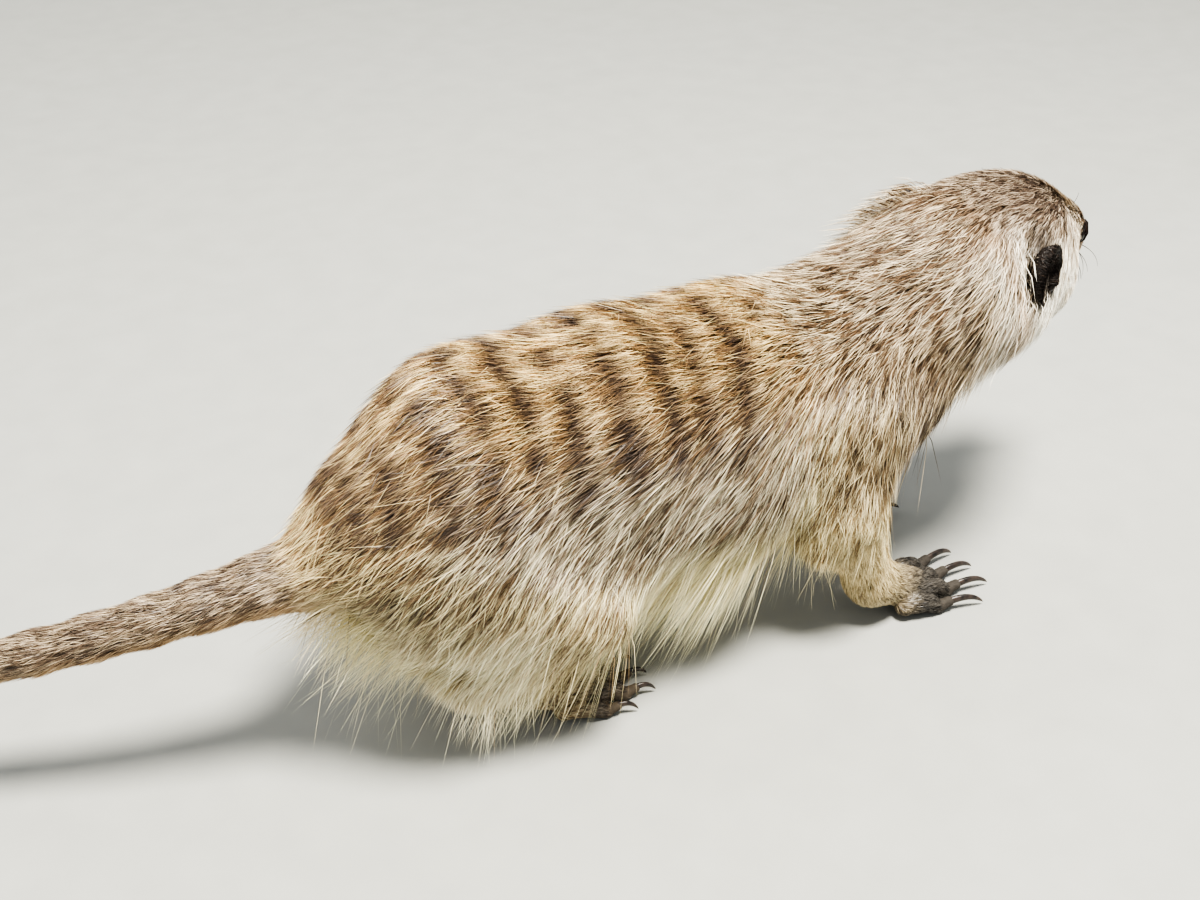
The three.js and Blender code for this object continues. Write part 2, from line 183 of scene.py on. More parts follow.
def fillet(a, b, k):
    h = np.maximum(k - np.abs(a - b), 0) / k
    return np.minimum(a, b) - h * h * k / 4


def blended(fields, k):
    return reduce(lambda a, b: fillet(a, b, k), fields)


def chain(p, stations, bare):
    return [cone(p, a, b, bare) for a, b in zip(stations, stations[1:])]


def on_side(stations, side):
    return [(x, y * side, *rest) for x, y, *rest in stations]


def face_field(p, bare):
    q = into_head(p)
    parts = [oval(q, SKULL[0], SKULL[1], SKULL[2] * bare), oval(q, RUFF[0], RUFF[1], RUFF[2] * bare)]
    for side in (1, -1):
        (cheek,) = on_side([CHEEK[0]], side)
        (brow,) = on_side([BROW], side)
        parts.append(oval(q, cheek, CHEEK[1], CHEEK[2] * bare))
        parts.append(size(q - np.array(brow[:3])) - brow[3] + brow[4] * bare)
    snout = blended([*parts, *chain(q, SNOUT, bare)], 6)
    return blended([snout, *chain(q, JAW, bare)], 6 - 3.5 * bare)


def toe_line(limb, toes, side, place):
    """A toe's stations from root to tip, those of its claw's sheath, and three points that lead the claw."""
    heading = math.radians(side * (toes["turn"] - 7 * place))
    turn = math.radians(side * toes["turn"])
    forward = np.array((math.cos(heading), math.sin(heading), 0))
    across = np.array((-math.sin(turn), math.cos(turn), 0))
    back = 1.9 * (abs(place) - 0.5) + (toes["outer_back"] if place == -1.5 else 0)
    ball = np.array((limb[3][0], limb[3][1] * side, 0))
    root = ball - side * place * toes["pitch"] * across - back * forward
    r, pad = toes["r"], toes["r"] * 0.74 - 0.5

    def at(distance, z):
        return root + distance * forward + np.array((0, 0, z))

    a, b, c = at(0, r + 1.2), at(toes["length"] * 0.6, r + 2.6), at(toes["length"], pad)
    stations = []
    for t in (0, 0.35, 0.7, 1):
        stations.append((*curve(a, b, c, t), r * (1 - 0.26 * t * t), 0.3))
    start = toes["length"] + r * 0.62 + 0.3
    quick = at(start + 1.4, pad + 1.5)
    sheath = [(*c, toes["claw_r"] + 0.9, 0.3), (*quick, toes["claw_r"] + 0.45, 0.2)]
    tip = start + toes["claw"]
    claw = [at(start - 1.5, pad + 0.3), at(start + toes["claw"] * 0.62, r + 3.4), at(tip, 1)]
    return stations, sheath, claw


TOE_PLACES = (1.5, 0.5, -0.5, -1.5)
TOES = [toe_line(limb, toes, side, place) for limb, _, toes, side in LIMBS for place in TOE_PLACES]


def toe_field(p, bare):
    parts = []
    for stations, sheath, _ in TOES:
        parts += chain(p, stations, bare)
        if bare:
            parts += chain(p, sheath, bare)
    return blended(parts, 1)


def body(p, bare=0):
    trunk = [*chain(p, BACK, bare), *chain(p, BELLY, bare), *chain(p, BREAST, bare), *chain(p, NECK, bare)]
    f = blended([*trunk, face_field(p, bare)], 14)
    if not bare:
        hair = [oval(p, *BELLY_HAIR)]
        hair += [oval(p, on_side([BREECH_HAIR[0]], side)[0], BREECH_HAIR[1]) for side in (1, -1)]
        f = fillet(f, blended(hair, 16), 16)
    f = fillet(f, blended(chain(p, TAIL, bare), 3 - 2.6 * bare), 9)
    f = fillet(f, blended([cone(p, *on_side(limb[:2], side), bare) for limb, _, _, side in LIMBS], 1), 12)
    lower = []
    for limb, (x, y, z, r), _, side in LIMBS:
        lower += chain(p, on_side(limb[1:], side), bare)
        if not bare:
            lower.append(size(p - np.array((x, y * side, z))) - r)
    f = fillet(f, blended(lower, 6), 6)
    low = np.flatnonzero((p[:, 2] < 18) & (f < 25))
    f[low] = fillet(f[low], toe_field(p[low], bare), 1.2)
    return f


def skin_field(p):
    return body(p, 1)


def slope(field, p, h=0.3):
    return np.stack([(field(p + d) - field(p - d)) / (2 * h) for d in np.eye(3) * h], axis=1)


def settled(field, p):
    """The points moved onto the field's surface."""
    g = slope(field, p)
    return p - g * (field(p)[:, None] / np.maximum(dot(g, g), 0.2))


# ---------------------------------------------------------------- the skin
def surface_net(field, low, high, step):
    """Vertices and quads of the field's surface, one vertex in every cell that it crosses."""
    low = np.asarray(low, float)
    shape = np.ceil((np.asarray(high) - low) / step).astype(int) + 1
    stride = 5
    coarse = [np.arange(0, n + stride, stride) for n in shape]
    nodes = np.stack(np.meshgrid(*coarse, indexing="ij"), -1)
    rough = field(low + step * nodes.reshape(-1, 3)).reshape(nodes.shape[:3])
    nearest = [(np.arange(n) + stride // 2) // stride for n in shape]
    f = rough[np.ix_(*nearest)]
    near = np.argwhere(np.abs(f) < 9)
    f[tuple(near.T)] = field(low + step * near)
    inside = f < 0
    corners = np.stack(np.meshgrid([0, 1], [0, 1], [0, 1], indexing="ij"), -1).reshape(-1, 3)
    cells = [n - 1 for n in shape]
    windows = [tuple(slice(c, c + n) for c, n in zip(corner, cells)) for corner in corners]
    count = sum(inside[window].astype(np.int8) for window in windows)
    mixed = np.argwhere((count > 0) & (count < 8))
    number = np.full(cells, -1)
    number[tuple(mixed.T)] = np.arange(len(mixed))
    total, crossings = np.zeros((len(mixed), 3)), np.zeros((len(mixed), 1))
    quads = []
    for axis in range(3):
        step_on = np.eye(3, dtype=int)[axis]
        for corner in corners[corners[:, axis] == 0]:
            start = mixed + corner
            a, b = f[tuple(start.T)], f[tuple((start + step_on).T)]
            crosses = (a < 0) != (b < 0)
            t = np.where(crosses, a / np.where(crosses, a - b, 1), 0)[:, None]
            total += np.where(crosses[:, None], start + t * step_on, 0)
            crossings += crosses[:, None]
        ahead = [slice(None)] * 3
        behind = [slice(None)] * 3
        ahead[axis], behind[axis] = slice(1, None), slice(None, -1)
        edge = np.argwhere(inside[tuple(ahead)] != inside[tuple(behind)])
        b, c = np.eye(3, dtype=int)[(axis + 1) % 3], np.eye(3, dtype=int)[(axis + 2) % 3]
        quad = np.stack([number[tuple((edge - back).T)] for back in (0 * b, b, b + c, c)], 1)
        leaving = inside[tuple(edge.T)]
        quads.append(np.where(leaving[:, None], quad, quad[:, ::-1]))
    return low + step * total / crossings, np.concatenate(quads)


def relaxed(points, edges, share=0.5):
    """The points drawn towards the middle of their neighbours."""
    total = np.zeros_like(points)
    count = np.zeros(len(points))
    for a, b in ((edges[:, 0], edges[:, 1]), (edges[:, 1], edges[:, 0])):
        for axis in range(3):
            total[:, axis] += np.bincount(a, points[b, axis], len(points))
        count += np.bincount(a, minlength=len(points))
    return points + share * (total / count[:, None] - points)


def edges_of(faces):
    pairs = np.concatenate([faces[:, [i, (i + 1) % faces.shape[1]]] for i in range(faces.shape[1])])
    return np.unique(np.sort(pairs, 1), axis=0)


def mesh_of(name, points, faces):
    mesh = bpy.data.meshes.new(name)
    mesh.vertices.add(len(points))
    mesh.vertices.foreach_set("co", placed(points).astype(np.float32).ravel())
    sides = faces.shape[1]
    mesh.loops.add(faces.size)
    mesh.loops.foreach_set("vertex_index", faces.astype(np.int32).ravel())
    mesh.polygons.add(len(faces))
    mesh.polygons.foreach_set("loop_start", np.arange(0, faces.size, sides, dtype=np.int32))
    mesh.polygons.foreach_set("use_smooth", np.ones(len(faces), bool))
    mesh.update(calc_edges=True)
    mesh.validate()
    return mesh


def normals_of(mesh):
    normals = np.zeros(len(mesh.vertices) * 3, np.float32)
    mesh.vertex_normals.foreach_get("vector", normals)
    return normals.reshape(-1, 3).astype(float)


def tinted(mesh, colours):
    """Gives each of the mesh's points its own colour."""
    rgba = np.ones((len(colours), 4), np.float32)
    rgba[:, :3] = colours
    mesh.attributes.new("tint", "FLOAT_COLOR", "POINT").data.foreach_set("color", rgba.ravel())


def linear(colours):
    """sRGB colours from 0 to 255 as linear ones from 0 to 1."""
    c = np.asarray(colours, float) / 255
    return np.where(c <= 0.04045, c / 12.92, ((c + 0.055) / 1.055) ** 2.4)


def added(name, data):
    made = bpy.data.objects.new(name, data)
    bpy.context.scene.collection.objects.link(made)
    return made


def piece_of(name, mesh, material, slot, *nodes):
    """The mesh as a piece of the body, in place of the nodes."""
    piece = added(name, mesh)
    mesh.materials.append(material)
    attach(piece, "root")
    if nodes:
        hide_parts(*nodes)
    return piece


def finer(points, faces, wanted):
    """The mesh, as triangles, with every edge cut in two where both its ends are wanted."""
    bm = bmesh.new()
    for p in points:
        bm.verts.new(p)
    bm.verts.ensure_lookup_table()
    bm.verts.index_update()
    for face in faces.tolist():
        bm.faces.new([bm.verts[i] for i in face])
    chosen = [e for e in bm.edges if wanted[e.verts[0].index] and wanted[e.verts[1].index]]
    bmesh.ops.subdivide_edges(bm, edges=chosen, cuts=1, use_grid_fill=True)
    bmesh.ops.triangulate(bm, faces=bm.faces[:])
    bm.verts.index_update()
    made = np.array([v.co[:] for v in bm.verts])
    triangles = np.array([[v.index for v in f.verts] for f in bm.faces])
    bm.free()
    return made, triangles


def gaze_frame(side):
    """The way an eye looks, and its own left and up, in the head's frame."""
    gaze = unit((GAZE[0], GAZE[1] * side, GAZE[2]))
    up = unit(np.array((0, 0, 1)) - gaze * gaze[2])
    return gaze, np.cross(up, gaze), up


# The eye's opening, as half angles about the gaze.
LID_ACROSS, LID_UP = 0.74, 0.6


def lid_place(p, side):
    """0 at the middle of the eye's opening and 1 at the lids' rim, an oval that narrows towards its corners,
    and how far a point lies from the eye's centre."""
    gaze, left, up = gaze_frame(side)
    q = into_head(p) - EYE * (1, side, 1)
    ahead = q @ gaze
    across = np.arctan2(q @ left * side, ahead) / LID_ACROSS
    above = np.arctan2(q @ up, ahead) / (LID_UP * (1 - 0.25 * across**2).clip(0.4))
    return np.hypot(across, above), size(q)


def nearest_lid(p):
    """lid_place's two measures, each for the eye where it is less."""
    return np.minimum(lid_place(p, 1), lid_place(p, -1))


def with_lids(p):
    p = p.copy()
    for side in (1, -1):
        place, d = lid_place(p, side)
        rim = EYE_R + 0.12 + 0.62 * bell(place - 1.16, 0.17)
        wanted = np.where(place < 1, EYE_R - 0.9, np.maximum(d, rim))
        close = (place < 1.9) & (d < EYE_R + 5)
        centre = from_head(EYE * (1, side, 1))
        out = (into_head(p) - EYE * (1, side, 1)) / d[:, None] @ HEAD_TURN.T
        p[close] = (centre + out * wanted[:, None])[close]
    return p


SKIN_LOW, SKIN_HIGH, SKIN_STEP = (-262, -48, -2), (204, 92, 132), 1.5
points, quads = surface_net(skin_field, SKIN_LOW, SKIN_HIGH, SKIN_STEP)
edges = edges_of(quads)
for _ in range(3):
    points = settled(skin_field, relaxed(points, edges))
on_face = into_head(points)[:, 0] > 2
on_feet = (points[:, 2] < 13) & (points[:, 0] > -40)
points, triangles = finer(points, quads, on_face | on_feet)
points, triangles = finer(points, triangles, nearest_lid(points)[1] < 9)
edges = edges_of(triangles)
points = settled(skin_field, relaxed(settled(skin_field, points), edges, 0.3))
points = with_lids(points)
points[:, 2] = np.maximum(points[:, 2], 0.0)
skin_mesh = mesh_of("skin", points, triangles)
normals = normals_of(skin_mesh)

# ---------------------------------------------------------------- regions and the lie of the coat
# In each region: the coat's lie, the hairs' length and width, hairs to a square millimetre, how far a lock
# spreads and how many hairs have pale tips.
Region = namedtuple("Region", "lie length width density spread pale")
REGIONS = {
    "back": Region((-1, 0, -0.1), 13, 0.22, 5.2, 0.6, 0.54),
    "flank": Region((-1, 0, -0.4), 16, 0.21, 5.2, 0.7, 0.27),
    "belly": Region((-0.8, 0, -0.6), 19, 0.22, 4.0, 0.9, 0.68),
    "rump": Region((-0.85, 0, -0.45), 14, 0.21, 5.2, 0.6, 0.33),
    "neck": Region((-1, 0, -0.15), 12, 0.21, 5.6, 0.65, 0.31),
    "crown": Region((-1, 0, -0.3), 8, 0.2, 7.5, 0.5, 0.28),
    "cheek": Region((-0.5, 0, -0.9), 10, 0.2, 7.2, 0.6, 0.6),
    "face": Region((-1, 0, 0.1), 4, 0.16, 13, 0.3, 0.55),
    "tail": Region((-1, 0, 0), 8, 0.2, 7.6, 0.45, 0.28),
    "fore_upper": Region((-0.45, 0, -0.9), 12, 0.21, 5.0, 0.6, 0.42),
    "fore_lower": Region((0.1, 0, -1), 6.5, 0.2, 6.8, 0.45, 0.62),
    "fore_paw": Region((0.9, 0, -0.4), 2.2, 0.15, 11, 0.2, 0.5),
    "hind_upper": Region((-0.7, 0, -0.75), 15, 0.21, 4.5, 0.7, 0.25),
    "hind_lower": Region((-0.6, 0, -0.8), 11, 0.2, 5.6, 0.5, 0.55),
    "hind_paw": Region((0.95, 0, -0.25), 2.4, 0.15, 10.5, 0.2, 0.5),
}
# The pale, middle and dark colours of a region's hairs.
PALETTES = {
    "back": ((255, 229, 170), (184, 145, 94), (108, 83, 58)),
    "flank": ((250, 238, 208), (130, 107, 80), (70, 56, 44)),
    "belly": ((255, 245, 204), (220, 202, 156), (142, 121, 86)),
    "rump": ((255, 232, 180), (144, 114, 80), (78, 60, 46)),
    "neck": ((246, 227, 193), (134, 106, 77), (73, 57, 44)),
    "crown": ((206, 188, 164), (124, 104, 86), (84, 69, 58)),
    "cheek": ((255, 250, 236), (208, 192, 166), (132, 114, 92)),
    "face": ((240, 228, 206), (192, 170, 142), (128, 106, 86)),
    "tail": ((206, 186, 157), (124, 103, 83), (78, 64, 52)),
    "fore_upper": ((255, 242, 196), (172, 144, 98), (92, 72, 50)),
    "fore_lower": ((240, 222, 174), (186, 163, 118), (124, 103, 74)),
    "fore_paw": ((178, 162, 130), (146, 130, 102), (108, 95, 76)),
    "hind_upper": ((253, 238, 192), (138, 112, 80), (72, 56, 42)),
    "hind_lower": ((250, 234, 190), (186, 162, 120), (122, 101, 74)),
    "hind_paw": ((200, 182, 146), (156, 136, 106), (108, 92, 72)),
}
NAMES = list(REGIONS)
AT = {name: i for i, name in enumerate(NAMES)}
HEAD_REGIONS = ("crown", "cheek", "face")


def of_regions(key, shares):
    """A value of the regions at each point, by its shares in them."""
    return shares @ np.array([getattr(REGIONS[name], key) for name in NAMES])


def region_shares(p):
    """Each region's share at every point, one column to a region."""
    distance = np.full((len(p), len(NAMES)), 99.0)
    trunk = np.minimum.reduce([*chain(p, BACK, 1), *chain(p, BELLY, 1)])
    head = face_field(p, 1)
    distance[:, AT["neck"]] = np.minimum.reduce([*chain(p, NECK, 1), *chain(p, BREAST, 1)])
    distance[:, AT["tail"]] = np.minimum.reduce(chain(p, TAIL, 1))
    for limb, name in ((HIND, "hind"), (FORE, "fore")):
        for part, start in (("upper", 0), ("lower", 1), ("paw", 2)):
            sides = [cone(p, *on_side(limb[start : start + 2], side), 1) for side in (1, -1)]
            distance[:, AT[f"{name}_{part}"]] = np.minimum(*sides)
    low = np.flatnonzero(p[:, 2] < 14)
    toes = toe_field(p[low], 1)
    for name, chosen in (("hind_paw", p[low, 0] < 40), ("fore_paw", p[low, 0] > 40)):
        at_toes = low[chosen]
        distance[at_toes, AT[name]] = np.minimum(distance[at_toes, AT[name]], toes[chosen])
    q = into_head(p)
    down = np.degrees(np.arctan2(np.abs(p[:, 1]), p[:, 2] - 74))
    low_back, low_side = smooth(22, 66, down), smooth(98, 128, down)
    behind = smooth(-44, -66, p[:, 0])
    face = smooth(4, 17, q[:, 0])
    under = smooth(19, 9, q[:, 2] - 3 * smooth(-4, -16, q[:, 0])) * (1 - face)
    parts = {
        "back": (trunk, (1 - low_back) * (1 - 0.6 * behind)),
        "flank": (trunk, low_back * (1 - low_side) * (1 - behind)),
        "belly": (trunk, low_side),
        "rump": (trunk, (1 - low_side) * behind * (0.6 + 0.4 * low_back)),
        "crown": (head, (1 - face) * (1 - under)),
        "cheek": (head, under),
        "face": (head, face),
    }
    for name, (d, _) in parts.items():
        distance[:, AT[name]] = d
    shares = np.exp(-(distance - distance.min(1, keepdims=True)) / 2.5)
    for name, (_, share) in parts.items():
        shares[:, AT[name]] *= share
    return shares / np.maximum(shares.sum(1, keepdims=True), 1e-9)


def along_tail(p):
    """The tail's own way, towards its tip, beside each point."""
    along, nearest = np.zeros_like(p), np.full(len(p), 1e9)
    for a, b in zip(TAIL, TAIL[1:]):
        d = cone(p, a, b, 1)
        along[d < nearest] = unit(np.subtract(b[:3], a[:3]))
        nearest = np.minimum(nearest, d)
    return along


def along_skin(way, normal):
    return unit(way - normal * dot(way, normal))


def lie_of(p, normal, shares):
    """The way the hairs point, along the skin."""
    lies = unit([REGIONS[name].lie for name in NAMES])
    part = {name: shares[:, i, None] for i, name in enumerate(NAMES)}
    lie = shares @ lies
    lie += sum(part[name] * (HEAD_TURN @ lies[AT[name]] - lies[AT[name]]) for name in HEAD_REGIONS)
    lie += part["tail"] * (along_tail(p) - lies[AT["tail"]])
    x, z = p[:, 0], p[:, 2]
    pulls = (
        (smooth(105, 40, z)[:, None] * (part["flank"] + 0.5 * part["back"]), (0.1, 0, -0.55)),
        (bell(x - 62, 20)[:, None] * part["flank"], (0.35, 0, -0.7)),
        ((smooth(112, 88, x) * smooth(122, 96, z))[:, None] * part["neck"], (0.2, 0, -0.6)),
        (smooth(22, 6, into_head(p)[:, 2])[:, None] * part["crown"], (0.2, 0, -0.7)),
    )
    for share, pull in pulls:
        lie += share * np.array(pull)
    lie[:, 1] += 0.2 * np.sign(p[:, 1] - 4) * part["cheek"][:, 0]
    return along_skin(lie, normal)


def ripple(p, wave, seed):
    """Smooth noise about zero, with features about one wave across."""
    dice = np.random.default_rng(seed)
    total = np.zeros(len(p))
    for _ in range(9):
        k = unit(dice.normal(size=3)) * 2 * math.pi / (wave * dice.uniform(0.75, 1.9))
        total += np.sin(p @ k + dice.uniform(0, 6.28))
    return total / 3


# ---------------------------------------------------------------- markings and painted shade
# Where each band crosses the spine, from the shoulders to the tail, and half its width there.
BANDS = ((43, 3.2), (32, 3.5), (20, 3.9), (7, 4.2), (-6, 4.3), (-19, 4.3), (-33, 4.2), (-46, 3.9), (-57, 3.6),
         (-66.5, 3.1), (-75, 2.8), (-82, 2.5))
# Each band is a row of blotches: how far down from the spine they lie, in degrees, how long and how dark.
BLOTCHES = ((6, 5, 0.8), (24, 7, 0.9), (42, 8, 1.0), (60, 9, 0.72))
DARK_END = -212


def band_share(p):
    """How much of a dark band there is: blotches in rows across the back, gone by the belly."""
    down = np.degrees(np.arctan2(np.abs(p[:, 1]), p[:, 2] - 75))
    bent = p[:, 0] + 1.6 * ripple(p, 24, 3) + 0.06 * np.maximum(down - 30, 0)
    share = np.zeros(len(p))
    for i, (x, width) in enumerate(BANDS):
        shift = 2.5 * math.sin(i * 2.4) + 2.5 * ripple(p, 60, 40 + i)
        dash = (0.45 + 0.33 * smooth(2, 10, down)) * (1 - smooth(60, 78, down))
        for at, long, dark in BLOTCHES:
            dash = np.maximum(dash, dark * bell(down + shift - at, long, 4))
        dash = (dash + 0.2 * ripple(p, 9, 20 + i)).clip(0, 1)
        share = np.maximum(share, dash * bell(bent - x, width, 4) * (0.6 if i == 0 else 1))
    fade = smooth(-97, -86, p[:, 0]) * (1 - smooth(66, 84, down))
    return smooth(0.12, 0.8, share * fade)


def eye_patch(p):
    """The dark patch round each eye, drawn out towards the ear."""
    q = into_head(p)
    q[:, 1] = np.abs(q[:, 1])
    x, y, z = (q - (EYE + (-1.5, 1.5, 0.3))).T
    tall = 6.4 + 0.18 * x.clip(-9, 9)
    d = np.sqrt((x / np.where(x < 0, 10.5, 7.5)) ** 2 + (y / 9) ** 2 + (z / tall) ** 2)
    return 1 - smooth(0.78, 1.12, d + 0.08 * ripple(p, 3, 41))


def toe_reach(p):
    """How far each point is from the nearest toe's end."""
    ends = np.array([sheath[1][:3] for _, sheath, _ in TOES])
    near = np.full(len(p), 99.0)
    low = np.flatnonzero(p[:, 2] < 30)
    near[low] = np.min([size(p[low] - end) for end in ends], axis=0)
    return near


def body_dyes_and_shade(p, part):
    """The body's markings and some painted shade and light, each as its share, its pale, middle and dark
    colours and its share of pale tips.

    They are laid over each other in this order.
    """
    (x, _, z), (head_x, _, head_z) = p.T, into_head(p).T
    from_middle = size(p - HEAD_AT)
    trunk = 1 - sum(part[name] for name in HEAD_REGIONS)
    yield band_share(p) * trunk, ((116, 92, 74), (72, 56, 46), (50, 39, 33)), 0.09
    low_flank = 0.45 * trunk * smooth(66, 50, z) * (1 - part["belly"]) * part["flank"]
    yield low_flank, ((255, 243, 196), (160, 136, 98), (88, 71, 53)), 0.34
    tail_x, _, tail_z = np.array(TAIL)[::-1, :3].T
    under_tail = 0.85 * part["tail"] * smooth(1, -3, z - np.interp(x, tail_x, tail_z))
    yield under_tail, ((216, 184, 140), (176, 142, 104), (124, 94, 70)), 0.6
    tail_end = part["tail"] * smooth(DARK_END + 8, DARK_END - 6, x + 3 * ripple(p, 6, 5))
    yield tail_end, ((70, 54, 44), (44, 33, 28), (28, 22, 20)), 0.1
    nape = 0.5 * part["neck"] * smooth(0.3, 0.9, ripple(p, 15, 8))
    yield nape, ((216, 184, 138), (140, 102, 66), (96, 70, 50)), 0.3
    # Painted shadow: a darker band of hair down the fold behind the head.
    fold = bell(head_x + 30 + 0.25 * (head_z - 10), 2.6) * smooth(-18, 0, head_z + 12)
    yield 0.6 * fold * (from_middle < 45), ((190, 150, 104), (122, 92, 62), (74, 56, 42)), 0.2
    # Painted shadow: a dark line on the neck in the crease just behind the cheek's ruff.
    crease_shadow = bell(head_x + 21 - 0.35 * (head_z + 12), 2.2) * smooth(0, -7, head_z)
    yield 0.2 * crease_shadow * (from_middle < 38), ((140, 116, 90), (94, 74, 58), (60, 47, 38)), 0.15
    shoulders = 0.8 * smooth(38, 56, x) * smooth(0.2, 0.6, trunk) * (part["back"] + part["neck"])
    yield shoulders, ((247, 230, 200), (130, 104, 78), (70, 55, 43)), 0.25
    # The throat and chest: browner hair, darkened further as painted shade on the neck's underside.
    throat_brown_and_shade = trunk * smooth(54, 70, x) * smooth(104, 92, z + 2 * ripple(p, 20, 9)) * smooth(44, 60, z)
    yield 0.7 * throat_brown_and_shade, ((224, 205, 170), (112, 93, 70), (62, 50, 39)), 0.19
    # Pale hair on the breech, lightened further as painted light where the breech lies in shade.
    breech_pale_and_lit = (part["hind_upper"] + part["hind_lower"]) * smooth(64, 46, z) * smooth(-28, -46, x)
    yield 0.92 * breech_pale_and_lit, ((255, 248, 216), (230, 212, 174), (170, 148, 114)), 0.68


def head_dyes_and_shade(p):
    """The head's markings and a painted shade by the ears, in the same form."""
    x, y, z = into_head(p).T
    head = face_field(p, 0) < 2.5
    muzzle = 0.6 * head * smooth(17, 32, x) * smooth(-8, 0, z)
    yield muzzle, ((176, 150, 124), (138, 112, 90), (100, 80, 66)), 0.4
    chin = 0.8 * head * smooth(-4, -10, z) * smooth(-4, 8, x)
    yield chin, ((242, 236, 222), (224, 212, 192), (186, 170, 148)), 0.85
    yield eye_patch(p) * head, ((58, 44, 38), (40, 31, 28), (26, 21, 20)), 0.15
    # Dark hair at the ear's seat, drawn out above and below it as painted shade.
    by_ear_dark_and_shade = 1 - smooth(0.55, 1, np.hypot((x - EAR["x"] - 1) / 7, (z - EAR["z"] - 1.5) / 14))
    yield 0.8 * head * by_ear_dark_and_shade * (np.abs(y) > 14), ((104, 88, 74), (62, 52, 45), (36, 31, 28)), 0.25
    lips = 0.8 * head * (x > 17) * bell(z + 9.2 - 0.04 * x, 0.55) * (np.abs(y) < 9)
    yield lips, ((60, 46, 40), (44, 34, 30), (34, 26, 24)), 0.1


def paw_dyes(p, part):
    """The paws' markings, in the same form."""
    end = toe_reach(p)
    fore, hind = part["fore_paw"], part["hind_paw"]
    yield 0.6 * fore * smooth(27, 14, end), ((150, 138, 118), (118, 108, 93), (86, 79, 69)), 0.45
    yield 0.94 * fore * smooth(18, 10, end), ((86, 82, 77), (66, 62, 58), (50, 47, 44)), 0.4
    yield 0.92 * hind * smooth(13, 6, end), ((112, 101, 87), (80, 72, 63), (58, 52, 46)), 0.4


def marks(p, shares):
    """Pale, middle and dark hair colours at each point, and the share of pale-tipped hairs."""
    colours = np.einsum("nr,rkc->nkc", shares, linear([PALETTES[name] for name in NAMES]))
    pale = of_regions("pale", shares)
    part = {name: shares[:, i] for i, name in enumerate(NAMES)}
    for share, dye_and_shade, tip_pale_share in (*body_dyes_and_shade(p, part), *head_dyes_and_shade(p), *paw_dyes(p, part)):
        colours = mixed(colours, linear(dye_and_shade), share[:, None, None])
        pale = mixed(pale, tip_pale_share, share)
    return colours, pale


# ---------------------------------------------------------------- the coat
# A hair is a flat blade with a ring of points at its root, its middle and its tip: how far along each lies,
# how high it rises, and how wide the blade is there.
TRIANGLE_LIMIT = 196000
RINGS = np.array((0, 0.5, 1.0))
RISE = np.array((0, 0.72, 1.0))
TAPER = np.array((0.7, 1.0, 0.0))
BLADE = np.array(((0, 1, 3), (0, 3, 2), (2, 3, 4)))
RING_OF = (0, 0, 1, 1, 2)


def strewn(weight, per_root):
    """Evenly strewn places on triangles of given weights: each one's triangle and shares of its corners."""
    reach = np.cumsum(weight)
    count = int(reach[-1] / per_root)
    spots = (np.arange(count) + rng.uniform(size=count)) / count * reach[-1]
    which = np.searchsorted(reach, spots).clip(0, len(weight) - 1)
    a, b = rng.uniform(size=(2, count))
    over = a + b > 1
    a[over], b[over] = 1 - a[over], 1 - b[over]
    return which, np.stack((1 - a - b, a, b), 1)


def areas(points, triangles):
    a, b, c = (points[triangles[:, i]] for i in range(3))
    return size(np.cross(b - a, c - a)) / 2


class Hide:
    """The skin as triangles that hairs are set on, with what each hair reads at its root."""

    def __init__(self, points, triangles, normals):
        self.points, self.triangles, self.normals = points, triangles, normals
        self.shares = region_shares(points)
        lie = lie_of(points, normals, self.shares)
        for _ in range(12):
            lie = relaxed(lie, edges, 0.6)
        self.lie = along_skin(lie, normals)
        self.room = np.maximum(-body(points, 0), 0.25)
        self.area = areas(points, triangles)
        self.main = self.shares[triangles].sum(1).argmax(1)

    def read(self, values, which, corners):
        return np.einsum("nk,nk...->n...", corners, values[self.triangles[which]])


def turned(v, axis, angle):
    c, s = np.cos(angle)[:, None], np.sin(angle)[:, None]
    return v * c + np.cross(axis, v) * s + axis * dot(axis, v) * (1 - c)


def half_widths(rings, normal, width, twist):
    """Half of each blade's width at its rings, with the blade turned at random about its length."""
    heading = unit(rings[:, 2] - rings[:, 0])
    across = turned(unit(np.cross(normal, heading)), heading, twist * rng.normal(size=len(rings)))
    return across[:, None, :] * np.reshape(width, (-1, 1, 1)) / 2 * TAPER[None, :, None]


def bent(root, way, offset, normal, length, room, tip, hang):
    """A hair's rings: gathered into its lock, risen to its level in the coat, or drooping where it hangs."""
    rings = []
    for t, rise in zip(RINGS, RISE):
        p = root + way * (length * t)[:, None] - offset * (0.55 * t * t)
        p = p + normal * (room * rise * tip)[:, None]
        if hang:
            p = p + np.array((0, 0, -1)) * (hang * length * t * t)[:, None]
        elif t:
            error = body(p, 0) + room * (1 - rise * tip)
            p = p - normal * np.clip(error, -6, 6)[:, None]
        rings.append(p)
    rings = np.stack(rings, 1)
    rings[:, 1:, 2] = np.maximum(rings[:, 1:, 2], 0.25 + 0.4 * rng.uniform(size=len(root))[:, None])
    return rings


